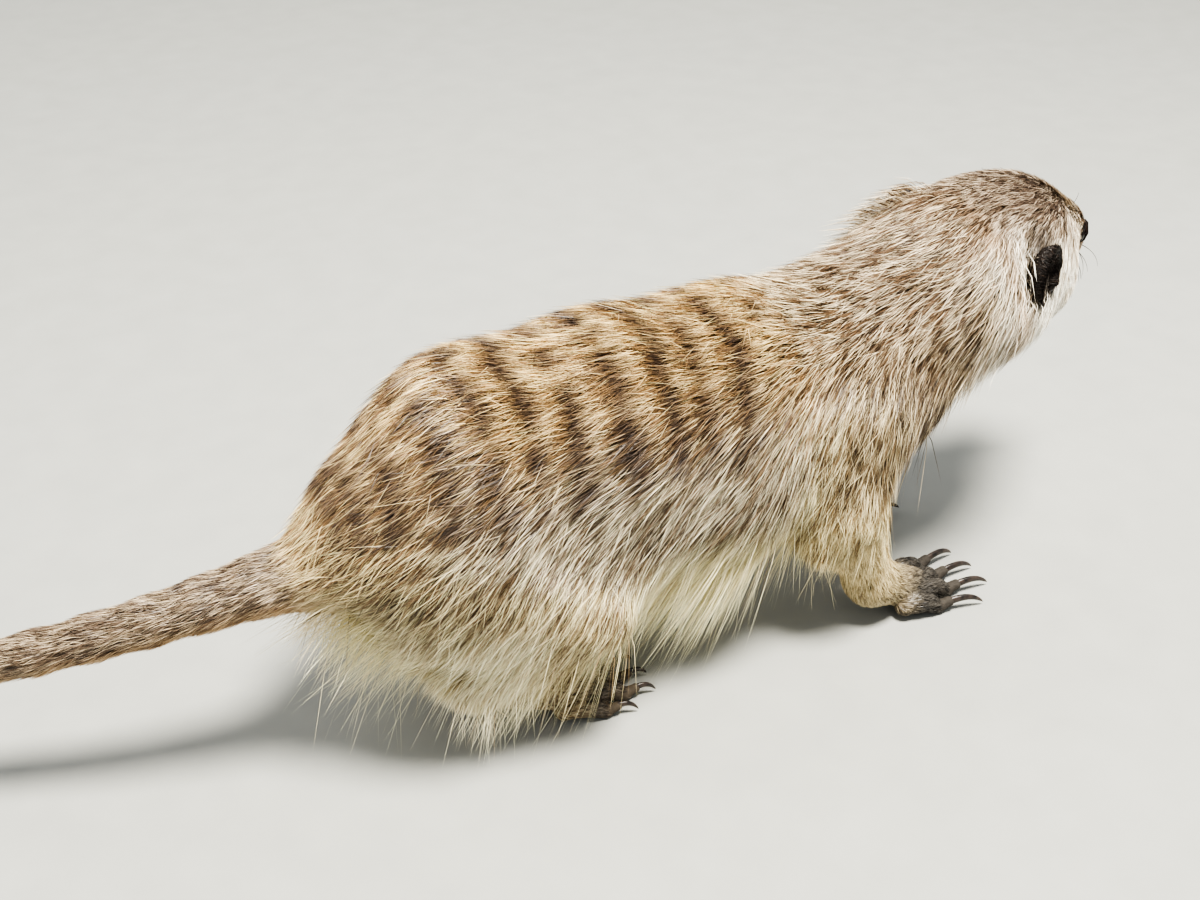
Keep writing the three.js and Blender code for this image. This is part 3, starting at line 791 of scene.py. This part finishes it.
def grown(hide, density, chosen, in_lock=6, stray=0.14, longer=1.0, thinner=1.0,
          reach=(0.72, 1.05), hang=0.0, paler=0.0):
    """Hairs in locks over the chosen triangles: rings, half widths, colours, and roots on the skin.

    stray is how far they swing from the coat's lie, reach how high their tips stand in it, hang how far
    they droop, and paler how many more have pale tips.
    """
    which, corners = strewn(hide.area * chosen * density[hide.triangles].mean(1), in_lock)
    locks, n = len(which), len(which) * in_lock
    lock = np.repeat(np.arange(locks), in_lock)

    def of_lock(values):
        return hide.read(values, which, corners)[lock]

    centre, shares, room = of_lock(hide.points), of_lock(hide.shares), of_lock(hide.room)
    normal, lie = unit(of_lock(hide.normals)), unit(of_lock(hide.lie))
    length, width = of_regions("length", shares) * longer, of_regions("width", shares) * thinner
    swing = 0.09 * ripple(centre, 16, 11) + (0.11 * rng.normal(size=locks))[lock] + stray * rng.normal(size=n)
    way = turned(lie, normal, swing)
    angle = rng.uniform(0, 2 * math.pi, n)
    radius = of_regions("spread", shares) * np.sqrt(rng.uniform(size=n))
    offset = way * (radius * np.cos(angle) * 1.4)[:, None]
    offset = offset + np.cross(normal, way) * (radius * np.sin(angle))[:, None]
    root = centre + offset
    root -= normal * skin_field(root)[:, None]
    length = length * (0.8 + 0.25 * rng.uniform(size=locks)[lock] + 0.3 * rng.uniform(size=n))
    length = np.maximum(length, room * 1.25)
    (middle, pale), (tips, _) = (marks(root + way * (t * length)[:, None], shares) for t in (0.55, 0.92))
    # Kind 0 has a pale tip, 1 a middle one and 2 a dark one. Hairs of a lock are mostly of one kind.
    tone = 0.3 * rng.uniform(size=n) + 0.7 * rng.uniform(size=locks)[lock]
    tone = np.argsort(np.argsort(tone)) / n
    pale = np.minimum(pale + paler, 1)
    kind = np.where(tone < pale, 0, np.where(tone < pale + 0.45 * (1 - pale), 1, 2))
    tip = reach[0] + (reach[1] - reach[0]) * (0.5 * rng.uniform(size=locks)[lock] + 0.5 * rng.uniform(size=n))
    tip -= np.array((0, 0.03, 0.06))[kind]
    rings = bent(root, way, offset, normal, length, room, tip, hang)
    half = half_widths(rings, normal, width * np.array((0.95, 1.05, 1.15))[kind], 0.75)
    row = np.arange(n)
    base = middle[row, np.minimum(kind + 1, 2)] * 0.65
    shade = (0.9 + 0.22 * rng.uniform(size=n))[:, None]
    colour = np.stack([base, mixed(middle[row, kind], base, 0.25), tips[row, kind] * 1.04], 1)
    colour = colour * shade[:, None]
    return {"rings": rings, "half": half, "colour": colour, "which": which[lock], "corners": corners[lock]}


def together(coats):
    return {key: np.concatenate([coat[key] for coat in coats]) for key in coats[0]}


def unwrap_of(at, faces):
    """Where the corners of the triangles lie on an unwrap of their own shape that fills the square."""
    used, compact = np.unique(faces, return_inverse=True)
    mesh = mesh_of("unwrap", at[used], compact.reshape(-1, 3))
    holder = added("unwrap", mesh)
    for other in bpy.context.selected_objects:
        other.select_set(False)
    holder.select_set(True)
    bpy.context.view_layer.objects.active = holder
    mesh.uv_layers.new(name="OFBake")
    bpy.ops.object.mode_set(mode="EDIT")
    bpy.ops.mesh.select_all(action="SELECT")
    bpy.ops.uv.smart_project(angle_limit=math.radians(70), island_margin=0.004)
    bpy.ops.object.mode_set(mode="OBJECT")
    uv = np.zeros(len(mesh.loops) * 2, np.float32)
    mesh.uv_layers[0].data.foreach_get("uv", uv)
    bpy.data.objects.remove(holder)
    bpy.data.meshes.remove(mesh)
    return uv.reshape(-1, 3, 2)


def hair_pieces(name, hairs, uv, slot):
    """The hairs as pieces of under 200,000 triangles, each a random share of them all."""
    count = len(hairs["rings"])
    pieces = math.ceil(count * len(BLADE) / TRIANGLE_LIMIT)
    order = rng.permutation(count)
    for i in range(pieces):
        take = order[i::pieces]
        rings, half = hairs["rings"][take], hairs["half"][take]
        left, right = rings - half, rings + half
        verts = np.stack([left[:, 0], right[:, 0], left[:, 1], right[:, 1], rings[:, 2]], 1)
        faces = (BLADE + len(RING_OF) * np.arange(len(take))[:, None, None]).reshape(-1, 3)
        mesh = mesh_of(f"{name}_{i + 1}", verts.reshape(-1, 3), faces)
        tinted(mesh, hairs["colour"][take].clip(0, 1)[:, RING_OF].reshape(-1, 3))
        centre = np.einsum("nk,nkc->nc", hairs["corners"][take], uv[hairs["which"][take]])
        patch = np.array(((-1, 0), (1, 0), (-1, 1), (1, 1), (0, 2))) * 0.0015
        place = (centre[:, None] + patch[None]).clip(0.001, 0.999)
        layer = mesh.uv_layers.new(name="OFBake")
        layer.data.foreach_set("uv", place.reshape(-1, 2)[faces.ravel()].astype(np.float32).ravel())
        piece_of(f"{name}_{i + 1}", mesh, fur, slot)


# ---------------------------------------------------------------- materials
def material_of(name, build):
    material = bpy.data.materials.new(name)
    material.use_nodes = True
    tree = material.node_tree
    build(tree, tree.nodes["Principled BSDF"])
    return material


def node(tree, kind, inputs=None, **settings):
    """A new node with its settings. An input is either a value or the socket that feeds it."""
    made = tree.nodes.new("ShaderNode" + kind)
    for key, value in settings.items():
        setattr(made, key, value)
    for key, value in (inputs or {}).items():
        if isinstance(value, bpy.types.NodeSocket):
            tree.links.new(value, made.inputs[key])
        else:
            made.inputs[key].default_value = value
    return made


def noise_of(tree, scale, detail):
    where = node(tree, "TexCoord").outputs["Object"]
    return node(tree, "TexNoise", {"Vector": where, "Scale": scale, "Detail": detail}).outputs["Fac"]


def mottled(tree, colour, scale, low, high):
    """The colour, darker and lighter in spots of the given scale."""
    limits = {"From Min": 0.3, "From Max": 0.7, "To Min": low, "To Max": high}
    level = node(tree, "MapRange", {"Value": noise_of(tree, scale, 4), **limits}).outputs["Result"]
    return node(tree, "VectorMath", {0: colour, "Scale": level}, operation="SCALE").outputs["Vector"]


def bumped(tree, shader, scale, strength, depth):
    height = noise_of(tree, scale, 3)
    bump = node(tree, "Bump", {"Height": height, "Strength": strength, "Distance": depth})
    tree.links.new(bump.outputs["Normal"], shader.inputs["Normal"])


def streaked(tree, shader, scale, detail, stops, colours, rough):
    """A ramp from one colour to another, over noise."""
    ramp = node(tree, "ValToRGB", {"Fac": noise_of(tree, scale, detail)})
    for element, stop, colour in zip(ramp.color_ramp.elements, stops, colours):
        element.position, element.color = stop, (*colour, 1)
    tree.links.new(ramp.outputs["Color"], shader.inputs["Base Color"])
    shader.inputs["Roughness"].default_value = rough


def painted(rough, spots, low, high, bump, specular):
    """A surface coloured by its own tint, with fine mottling."""

    def build(tree, shader):
        tint = node(tree, "Attribute", attribute_name="tint").outputs["Color"]
        tree.links.new(mottled(tree, tint, spots, low, high), shader.inputs["Base Color"])
        shader.inputs["Roughness"].default_value = rough
        shader.inputs["Specular IOR Level"].default_value = specular
        if bump:
            bumped(tree, shader, spots * 1.6, bump, 0.0004)

    return build


fur = material_of("fur", painted(rough=0.42, spots=260, low=0.9, high=1.1, bump=0, specular=0.55))
hide_material = material_of("hide", painted(rough=0.75, spots=900, low=0.8, high=1.15, bump=0.5, specular=0.2))
bare_skin = material_of(
    "bare_skin", painted(rough=0.42, spots=1400, low=0.82, high=1.15, bump=0.35, specular=0.45)
)
eye_gloss = material_of("eye_gloss", painted(rough=0.06, spots=2500, low=0.85, high=1.1, bump=0, specular=0.6))


def horn(tree, shader):
    streaked(tree, shader, 420, 3, (0.35, 0.7), ((0.012, 0.009, 0.008), (0.06, 0.042, 0.033)), 0.33)
    bumped(tree, shader, 900, 0.25, 0.0003)


claw_horn = material_of("claw_horn", horn)

# ---------------------------------------------------------------- the skin's piece
hide = Hide(points, triangles, normals)
head_at = into_head(points)
lid_gap, eye_gap = nearest_lid(points)
near_eye = eye_gap < EYE_R + 3
palette, _ = marks(points, hide.shares)
skin_colour = mixed(palette[:, 1], palette[:, 2], 0.4)
lid = near_eye * (1 - smooth(1.25, 1.5, lid_gap))
skin_colour = mixed(skin_colour, linear((26, 20, 18)), lid[:, None])
by_nose = smooth(1.75, 1.3, size((head_at - NOSE) / NOSE_HALF))
skin_colour = mixed(skin_colour, linear((62, 48, 43)), by_nose[:, None])
tinted(skin_mesh, skin_colour)
LEGS = ("hind_left", "hind_right", "fore_left", "fore_right")
FLESH = ["head", "neck", "chest", "belly", "rump", "tail_base", "tail_middle", "tail_tip"]
FLESH += [f"{leg}_{part}" for leg in LEGS for part in ("upper", "lower", "paw")]
piece_of("skin", skin_mesh, hide_material, "coat", *FLESH)

# ---------------------------------------------------------------- the coat's pieces
# Each group is a slot's name and its regions, and is a run of pieces of its own.
GROUPS = {
    "trunk": ("coat", ("back", "flank", "belly", "rump", "neck")),
    "head": ("coat", HEAD_REGIONS),
    "tail": ("tail_coat", ("tail",)),
    "legs": ("coat", ("fore_upper", "fore_lower", "fore_paw", "hind_upper", "hind_lower", "hind_paw")),
}

# No hair grows on the lids' rims, the nose, the ears' seats, the soles, the claws' roots and the tail's end.
x, _, z = points.T
head_x, head_y, head_z = head_at.T
tail_way = unit(TAIL[-2][:3] - TAIL[-1][:3])
bald = (lid_gap < 1.22) & near_eye
bald |= size((head_at - NOSE) / (NOSE_HALF + 0.15)) < 1
bald |= (np.hypot((head_x - EAR["x"]) / 6, (head_z - EAR["z"]) / 10.5) < 1) & (np.abs(head_y) > 12)
bald |= (z < 1.2) | (toe_reach(points) < 5) | ((points - TAIL[-1][:3]) @ tail_way < 2.6)
density = of_regions("density", hide.shares) * ~bald

# Long loose hairs hang from the belly, the breech and the elbows, guard hairs stand over the rest of the
# coat, and tufts stand behind the ears and under the cheeks.
part = {name: hide.shares[:, i] for i, name in enumerate(NAMES)}
uppers = part["rump"] + part["hind_upper"] + part["fore_upper"]
hanging = part["belly"] + (z < 60) * (0.18 * part["flank"] + uppers)
hanging = hanging * smooth(0.3, -0.35, normals[:, 2]) * (z > 22) * (1 - 0.5 * part["hind_upper"])
hanging += (part["hind_upper"] + part["hind_lower"]) * (z < 42) * (z > 8) * (x < -15)
guard = part["flank"] + part["neck"] + 0.7 * part["back"] + uppers
behind_ear = bell(head_x - EAR["x"] + 9.5, 4.2) * bell(head_z - EAR["z"] - 1, 11)
behind_ear = behind_ear * (np.abs(head_y) > 10) * (x > 110)
ruff = part["cheek"] * smooth(-4, -9, head_x) * smooth(8, 0, head_z)
FRINGE = dict(in_lock=4, stray=0.26, longer=1.5, thinner=0.95, reach=(0.95, 1.35), hang=0.45, paler=0.3)
LONG = dict(in_lock=1, stray=0.3, longer=2.0, thinner=0.9, reach=(1.0, 1.5), hang=0.45, paler=0.4)
GUARD = dict(in_lock=1, stray=0.3, longer=1.3, thinner=0.85, reach=(1.0, 1.22), paler=0.1)
TUFT = dict(in_lock=3, stray=0.25, longer=1.15, reach=(1.5, 2.3), paler=0.35)
RUFF_HAIR = dict(in_lock=5, stray=0.2, longer=1.35, reach=(1.1, 1.7), paler=0.2)
LAYERS = (
    (density, {}, ("trunk", "head", "tail", "legs")),
    (0.5 * hanging, FRINGE, ("trunk", "legs")),
    (0.08 * hanging, LONG, ("trunk", "legs")),
    (0.35 * guard, GUARD, ("trunk", "legs")),
    (3 * behind_ear, TUFT, ("trunk", "head", "legs")),
    (2.5 * ruff, RUFF_HAIR, ("trunk", "head", "legs")),
)
unwrap = np.zeros((len(triangles), 3, 2), np.float32)
for name, (slot, regions) in GROUPS.items():
    chosen = np.isin(hide.main, [AT[region] for region in regions])
    unwrap[chosen] = unwrap_of(points, triangles[chosen])
    coats = [grown(hide, weight, chosen, **style) for weight, style, where in LAYERS if name in where]
    hair_pieces(f"coat_{name}", together(coats), unwrap, slot)

# ---------------------------------------------------------------- eyes, nose, ears, whiskers and claws
def grid_faces(rows, around):
    """Triangles over rows of points that run round."""
    i, j = (n.ravel() for n in np.meshgrid(np.arange(rows - 1), np.arange(around), indexing="ij"))
    k = (j + 1) % around
    a, b, c, d = i * around + j, i * around + k, (i + 1) * around + k, (i + 1) * around + j
    return np.concatenate([np.stack((a, b, c), 1), np.stack((a, c, d), 1)])


EYE_ROWS, EYE_AROUND = 64, 48


def eyeball(side, name):
    """A ball with a bulging cornea, an oval pupil and a streaked brown iris."""
    gaze, left, up = gaze_frame(side)
    turns = np.linspace(0, 2 * math.pi, EYE_AROUND, endpoint=False)
    a, t = (n.ravel() for n in np.meshgrid(np.linspace(0.02, 2.6, EYE_ROWS), turns, indexing="ij"))
    outward = np.cos(t)[:, None] * left + np.sin(t)[:, None] * up
    direction = np.cos(a)[:, None] * gaze + np.sin(a)[:, None] * outward
    cornea = 0.35 * bell(a, 0.62, 4)
    at = from_head(EYE * (1, side, 1) + direction * (EYE_R - 0.35 + cornea)[:, None])
    pupil = smooth(0.42, 0.36, np.hypot(a * np.cos(t) / 1.3, a * np.sin(t)))
    streaks = 0.5 + 0.5 * np.sin(t * 19 + 3 * np.sin(t * 7)) * smooth(0.3, 0.7, a)
    iris = linear((66, 38, 22)) * (0.5 + 0.7 * streaks)[:, None]
    colour = mixed(iris, linear((22, 14, 11)), smooth(0.66, 0.8, a)[:, None])
    mesh = mesh_of(f"eyeball_{name}", at, grid_faces(EYE_ROWS, EYE_AROUND))
    tinted(mesh, mixed(colour, linear((7, 6, 6)), pupil[:, None]))
    piece_of(f"eyeball_{name}", mesh, eye_gloss, "eye", f"eye_{name}")


for side, name in ((1, "left"), (-1, "right")):
    eyeball(side, name)


def nose_field(p):
    """An oval pad, flat in front, with two nostrils, their side slits and a groove down its middle."""
    q = into_head(p) - NOSE
    wide = np.abs(q[:, 1])
    narrowed = np.stack((q[:, 0], q[:, 1] * (1 + 0.55 * smooth(0.5, -3.4, q[:, 2])), q[:, 2]), 1)
    f = oval(narrowed, (0, 0, 0), NOSE_HALF)
    f = -fillet(-f, 2.7 - q[:, 0] - 0.12 * q[:, 2], 1.6)
    half = np.stack((q[:, 0], wide, q[:, 2]), 1)
    bore = cone(half, (4.2, 1.55, -0.7, 0.85), (0.6, 2.0, -0.3, 0.6), 0)
    slit = cone(half, (2.7, 2.6, -0.3, 0.5), (0.8, 4.8, 0.9, 0.3), 0)
    f = -fillet(-f, np.minimum(bore, slit), 0.5)
    groove = np.hypot(wide, 0.3 * np.maximum(q[:, 2] + 0.6, 0)) - 0.24 + 0.3 * smooth(2.4, 1.4, q[:, 0])
    return -fillet(-f, groove, 0.5)


NOSE_REACH, NOSE_STEP = 7, 0.3
nose_middle = from_head(NOSE)
nose_at, nose_quads = surface_net(nose_field, nose_middle - NOSE_REACH, nose_middle + NOSE_REACH, NOSE_STEP)
nose_edges = edges_of(nose_quads)
for _ in range(2):
    nose_at = settled(nose_field, relaxed(nose_at, nose_edges, 0.4))
nose_mesh = mesh_of("nose_pad", nose_at, nose_quads)
tinted(nose_mesh, linear((48, 36, 34)) * (1 + 0.2 * ripple(nose_at, 1.6, 77))[:, None])
piece_of("nose_pad", nose_mesh, bare_skin, "nose", "nose")


# The ear is a cup on the side of the head, its mouth out and forward, with a rolled rim and two folds inside.
# CUP is its section, as shares of its half width and of its depth, from the middle of its back to its bowl's.
CUP = ((0, -1), (0.34, -0.95), (0.62, -0.76), (0.84, -0.45), (0.96, -0.1), (1, 0.18), (0.985, 0.36),
       (0.93, 0.44), (0.85, 0.4), (0.74, 0.22), (0.58, 0.0), (0.4, -0.16), (0.2, -0.26), (0, -0.3))
EAR_ROWS, EAR_AROUND = 44, 56


def ear_form(side):
    """An ear about its seat, its mouth's direction, and each point's reach, place in the bowl and height."""
    turns = np.linspace(0, 2 * math.pi, EAR_AROUND, endpoint=False)
    stops, t = (n.ravel() for n in np.meshgrid(np.linspace(0, len(CUP) - 1, EAR_ROWS), turns, indexing="ij"))
    reach, deep = (np.interp(stops, range(len(CUP)), values) for values in zip(*CUP))
    bowl = smooth(7, 9, stops)
    u, w = reach * np.cos(t), reach * np.sin(t)
    fold = 0.5 * bell(np.hypot(u - 0.12, w - 0.1) - 0.52, 0.1) * smooth(-0.5, 0.1, u * 0.4 + w)
    flap = 0.45 * bell(u - 0.42, 0.18) * bell(w + 0.3, 0.3)
    deep = deep + bowl * (fold + flap)
    lean = math.radians(EAR["forward"])
    across = np.array((math.cos(lean), -math.sin(lean) * side, 0))
    mouth = np.array((math.sin(lean), math.cos(lean) * side, 0))
    local = (u * EAR["width"] / 2 * (1 + 0.06 * w))[:, None] * across + (deep * EAR["depth"])[:, None] * mouth
    local[:, 2] += w * EAR["height"] / 2
    return local, mouth, reach, bowl


def ear_seat(side):
    """Where the side of the head, with its coat, lies straight out from the ear's place."""
    out = np.arange(5, 45, 0.1)
    line = from_head(np.stack((0 * out + EAR["x"], side * out, 0 * out + EAR["z"]), 1))
    return line[np.argmax(body(line) > 0)] - 0.4 * unit(HEAD_TURN @ np.array((0, side, 0)))


def fuzz(at, faces, normals, weight, lie, length, width, lift, colours):
    """Loose hairs over a small form, one to a root. lift is how far they stand off it."""
    which, corners = strewn(areas(at, faces) * weight[faces].mean(1), 1)
    n = len(which)

    def read(values):
        return np.einsum("nk,nk...->n...", corners, values[faces[which]])

    root, normal = read(at), unit(read(normals))
    way = along_skin(lie[faces[which, 0]] + 0.2 * rng.normal(size=(n, 3)), normal)
    long = length * rng.uniform(0.7, 1.25, n)
    rise = lift * rng.uniform(0.6, 1.3, n)
    t = RINGS[None, :, None]
    along = long[:, None, None] * t * math.sqrt(1 - lift**2)
    up = (long * rise)[:, None, None] * (t - 0.25 * t * t)
    rings = root[:, None] + way[:, None] * along + normal[:, None] * up
    rings[:, 0] -= normal * 0.15
    half = half_widths(rings, normal, width, 0.8)
    pick = colours[rng.integers(0, len(colours), n)]
    colour = np.stack([pick * 0.7, pick * 0.95, pick * 1.1], 1) * rng.uniform(0.85, 1.15, n)[:, None, None]
    return {"rings": rings, "half": half, "colour": colour, "which": which, "corners": corners}


def ear(side, name):
    """The cup's skin, dark, with dark hairs in its bowl and over its back and grey ones at its root."""
    local, mouth, reach, bowl = ear_form(side)
    faces = grid_faces(EAR_ROWS, EAR_AROUND)[:, ::side]
    at = local @ HEAD_TURN.T + ear_seat(side)
    mesh = mesh_of(f"ear_skin_{name}", at, faces)
    ear_normals = normals_of(mesh)
    behind = (1 - bowl) * (1 - smooth(0.3, 0.6, reach))
    tinted(mesh, mixed(linear((42, 34, 31)), linear((120, 103, 88)), behind[:, None]))
    piece_of(f"ear_skin_{name}", mesh, hide_material, "ear", f"ear_{name}")
    outward = unit(local - mouth * (local @ mouth)[:, None])
    lie = unit((outward * 0.6 + np.array((-0.7, 0, 0.35))) @ HEAD_TURN.T)
    dark = linear(((34, 28, 26), (48, 39, 35), (26, 22, 20), (72, 60, 52)))
    grey = linear(((206, 190, 168), (150, 132, 112), (100, 85, 72), (232, 220, 200)))
    foot = (1 - bowl) * smooth(0.6, 0.3, reach)
    inner = np.where(bowl > 0.5, 0.45 + 0.55 * smooth(0.5, 0.85, reach), 1 - foot)
    coats = [
        fuzz(at, faces, ear_normals, 17.0 * inner, lie, 2.4, 0.16, 0.28, dark),
        fuzz(at, faces, ear_normals, 17.0 * foot, lie, 4.2, 0.18, 0.3, grey),
    ]
    hair_pieces(f"ear_hair_{name}", together(coats), unwrap_of(at, faces), "ear")


for side, name in ((1, "left"), (-1, "right")):
    ear(side, name)


def tube(stations, around, flat=1.0):
    """A tapering tube along stations of x, y, z, radius, flattened from side to side."""
    stations = np.asarray(stations, float)
    at, r = stations[:, :3], stations[:, 3]
    way = unit(np.gradient(at, axis=0))
    side = unit(np.cross(way, (0, 0, 1.0)))
    up = np.cross(side, way)
    turns = np.linspace(0, 2 * math.pi, around, endpoint=False)
    ring = side[:, None] * np.cos(turns)[None, :, None] * flat + up[:, None] * np.sin(turns)[None, :, None]
    return (at[:, None] + ring * r[:, None, None]).reshape(-1, 3), grid_faces(len(at), around)


def joined(tubes):
    starts = np.cumsum([0, *[len(at) for at, _ in tubes]])
    faces = [triangles + start for (_, triangles), start in zip(tubes, starts)]
    return np.concatenate([at for at, _ in tubes]), np.concatenate(faces)


# A claw is a curved horn, deeper than it is wide, that grows out of its toe and thins to a blunt point.
def claw(points, r):
    stations = []
    for t in np.linspace(0, 1, 12):
        thick = r * (1 - 0.72 * t**1.6) * math.sqrt(max(1 - t**8, 0))
        stations.append((*curve(*points, t), max(thick, 0.02)))
    return tube(stations, 12, 0.72)


claw_sizes = [toes["claw_r"] for _, _, toes, _ in LIMBS for _ in TOE_PLACES]
claw_mesh = mesh_of("claws", *joined([claw(points, r) for (_, _, points), r in zip(TOES, claw_sizes)]))
piece_of("claws", claw_mesh, claw_horn, "claw", *[f"{leg}_claw_{n}" for leg in LEGS for n in (1, 2, 3, 4)])


# Whiskers and brow hairs are fine dark bristles, swept back.
def bristle(start, way, slack, bend, long, r, stops):
    """A hair from start on its way, which it loses with slack and bend. All are in the head's frame."""
    stations = []
    for t in np.linspace(-0.05, 1, stops):
        at = from_head(start + way * long * t * (1 - slack * t) + bend * long * t * t)
        stations.append((*at, r * (1 - 0.85 * t) + 0.01))
    return tube(stations, 4)


bristles = []
for side in (1, -1):
    for row, in_row in enumerate((4, 4, 4, 3)):
        for k in range(in_row):
            start = np.array((31.5 - 2.6 * k, side * (5.6 + 0.9 * k), -4.2 - 1.7 * row))
            swing = rng.normal(size=3) * 0.1
            way = unit(np.array((0.05 - 0.28 * k, side * 0.95, 0.18 - 0.3 * row)) + swing)
            bend = 0.42 * unit(np.array((-1.0, side * 0.2, -0.35)))
            bristles.append(bristle(start, way, 0.3, bend, rng.uniform(15, 22) - 1.5 * row, 0.17, 12))
    for k in range(4):
        start = np.array((15 - 1.5 * k, side * (10 + 0.6 * k), 12.4 - 0.4 * k))
        way = unit(np.array((0.1 - 0.2 * k, side * 0.5, 0.8)) + rng.normal(size=3) * 0.12)
        bristles.append(bristle(start, way, 0, np.array((-0.5, 0, -0.05)), rng.uniform(8, 12), 0.13, 10))
whisker_mesh = mesh_of("whiskers", *joined(bristles))
tinted(whisker_mesh, np.tile(linear((34, 26, 24)), (len(whisker_mesh.vertices), 1)))
piece_of("whiskers", whisker_mesh, fur, "coat")

# ---------------------------------------------------------------- floor, light and camera
FLOOR = 6
floor_mesh = bpy.data.meshes.new("floor")
corners = [(-FLOOR, -FLOOR, 0), (FLOOR, -FLOOR, 0), (FLOOR, FLOOR, 0), (-FLOOR, FLOOR, 0)]
floor_mesh.from_pydata(corners, [], [(0, 1, 2, 3)])
floor = added("floor", floor_mesh)


def pale(tree, shader):
    streaked(tree, shader, 55, 6, (0, 1), ((0.31, 0.312, 0.29), (0.365, 0.367, 0.342)), 0.9)


floor_mesh.materials.append(material_of("pale_floor", pale))

world = bpy.data.worlds.new("world")
world.use_nodes = True
sky = world.node_tree.nodes["Background"].inputs
sky["Color"].default_value, sky["Strength"].default_value = (0.92, 0.95, 0.97, 1), 0.7
bpy.context.scene.world = world
bpy.context.scene.view_settings.look = "AgX - High Contrast"


def soft_light(name, place, aim, power, width, colour):
    data = bpy.data.lights.new(name, "AREA")
    data.shape, data.size, data.energy, data.color = "DISK", width, power, colour
    lamp = added(name, data)
    lamp.location = place
    lamp.rotation_euler = (Vector(aim) - Vector(place)).to_track_quat("-Z", "Y").to_euler()


middle = tuple(placed((0, 0, 70)))
soft_light("key", (0.15, -0.25, 1.15), middle, 41, 0.32, (1.0, 0.965, 0.885))
soft_light("fill", (-1.0, 0.7, 0.8), middle, 6, 1.0, (1.0, 0.98, 0.94))

# The camera stands behind the animal's right hip and above it, in the body's frame. HEADING is how far it
# looks round from the animal's left towards its head, and TILT how far down.
HEADING, TILT = math.radians(28), math.radians(35)
CAMERA_AT = (-170, -318, 331)
right = np.array((math.cos(HEADING), -math.sin(HEADING), 0))
away = np.array((math.sin(HEADING), math.cos(HEADING), 0))
view = away * math.cos(TILT) - np.array((0, 0, math.sin(TILT)))
up = away * math.sin(TILT) + np.array((0, 0, math.cos(TILT)))
camera = added("camera", bpy.data.cameras.new("camera"))
camera.data.lens = 45
camera.data.sensor_width = 36
turn = Matrix(np.stack((right, up, -view), 1).tolist()).to_4x4()
camera.matrix_world = Matrix.Translation(placed(CAMERA_AT).tolist()) @ turn
bpy.context.scene.camera = camera
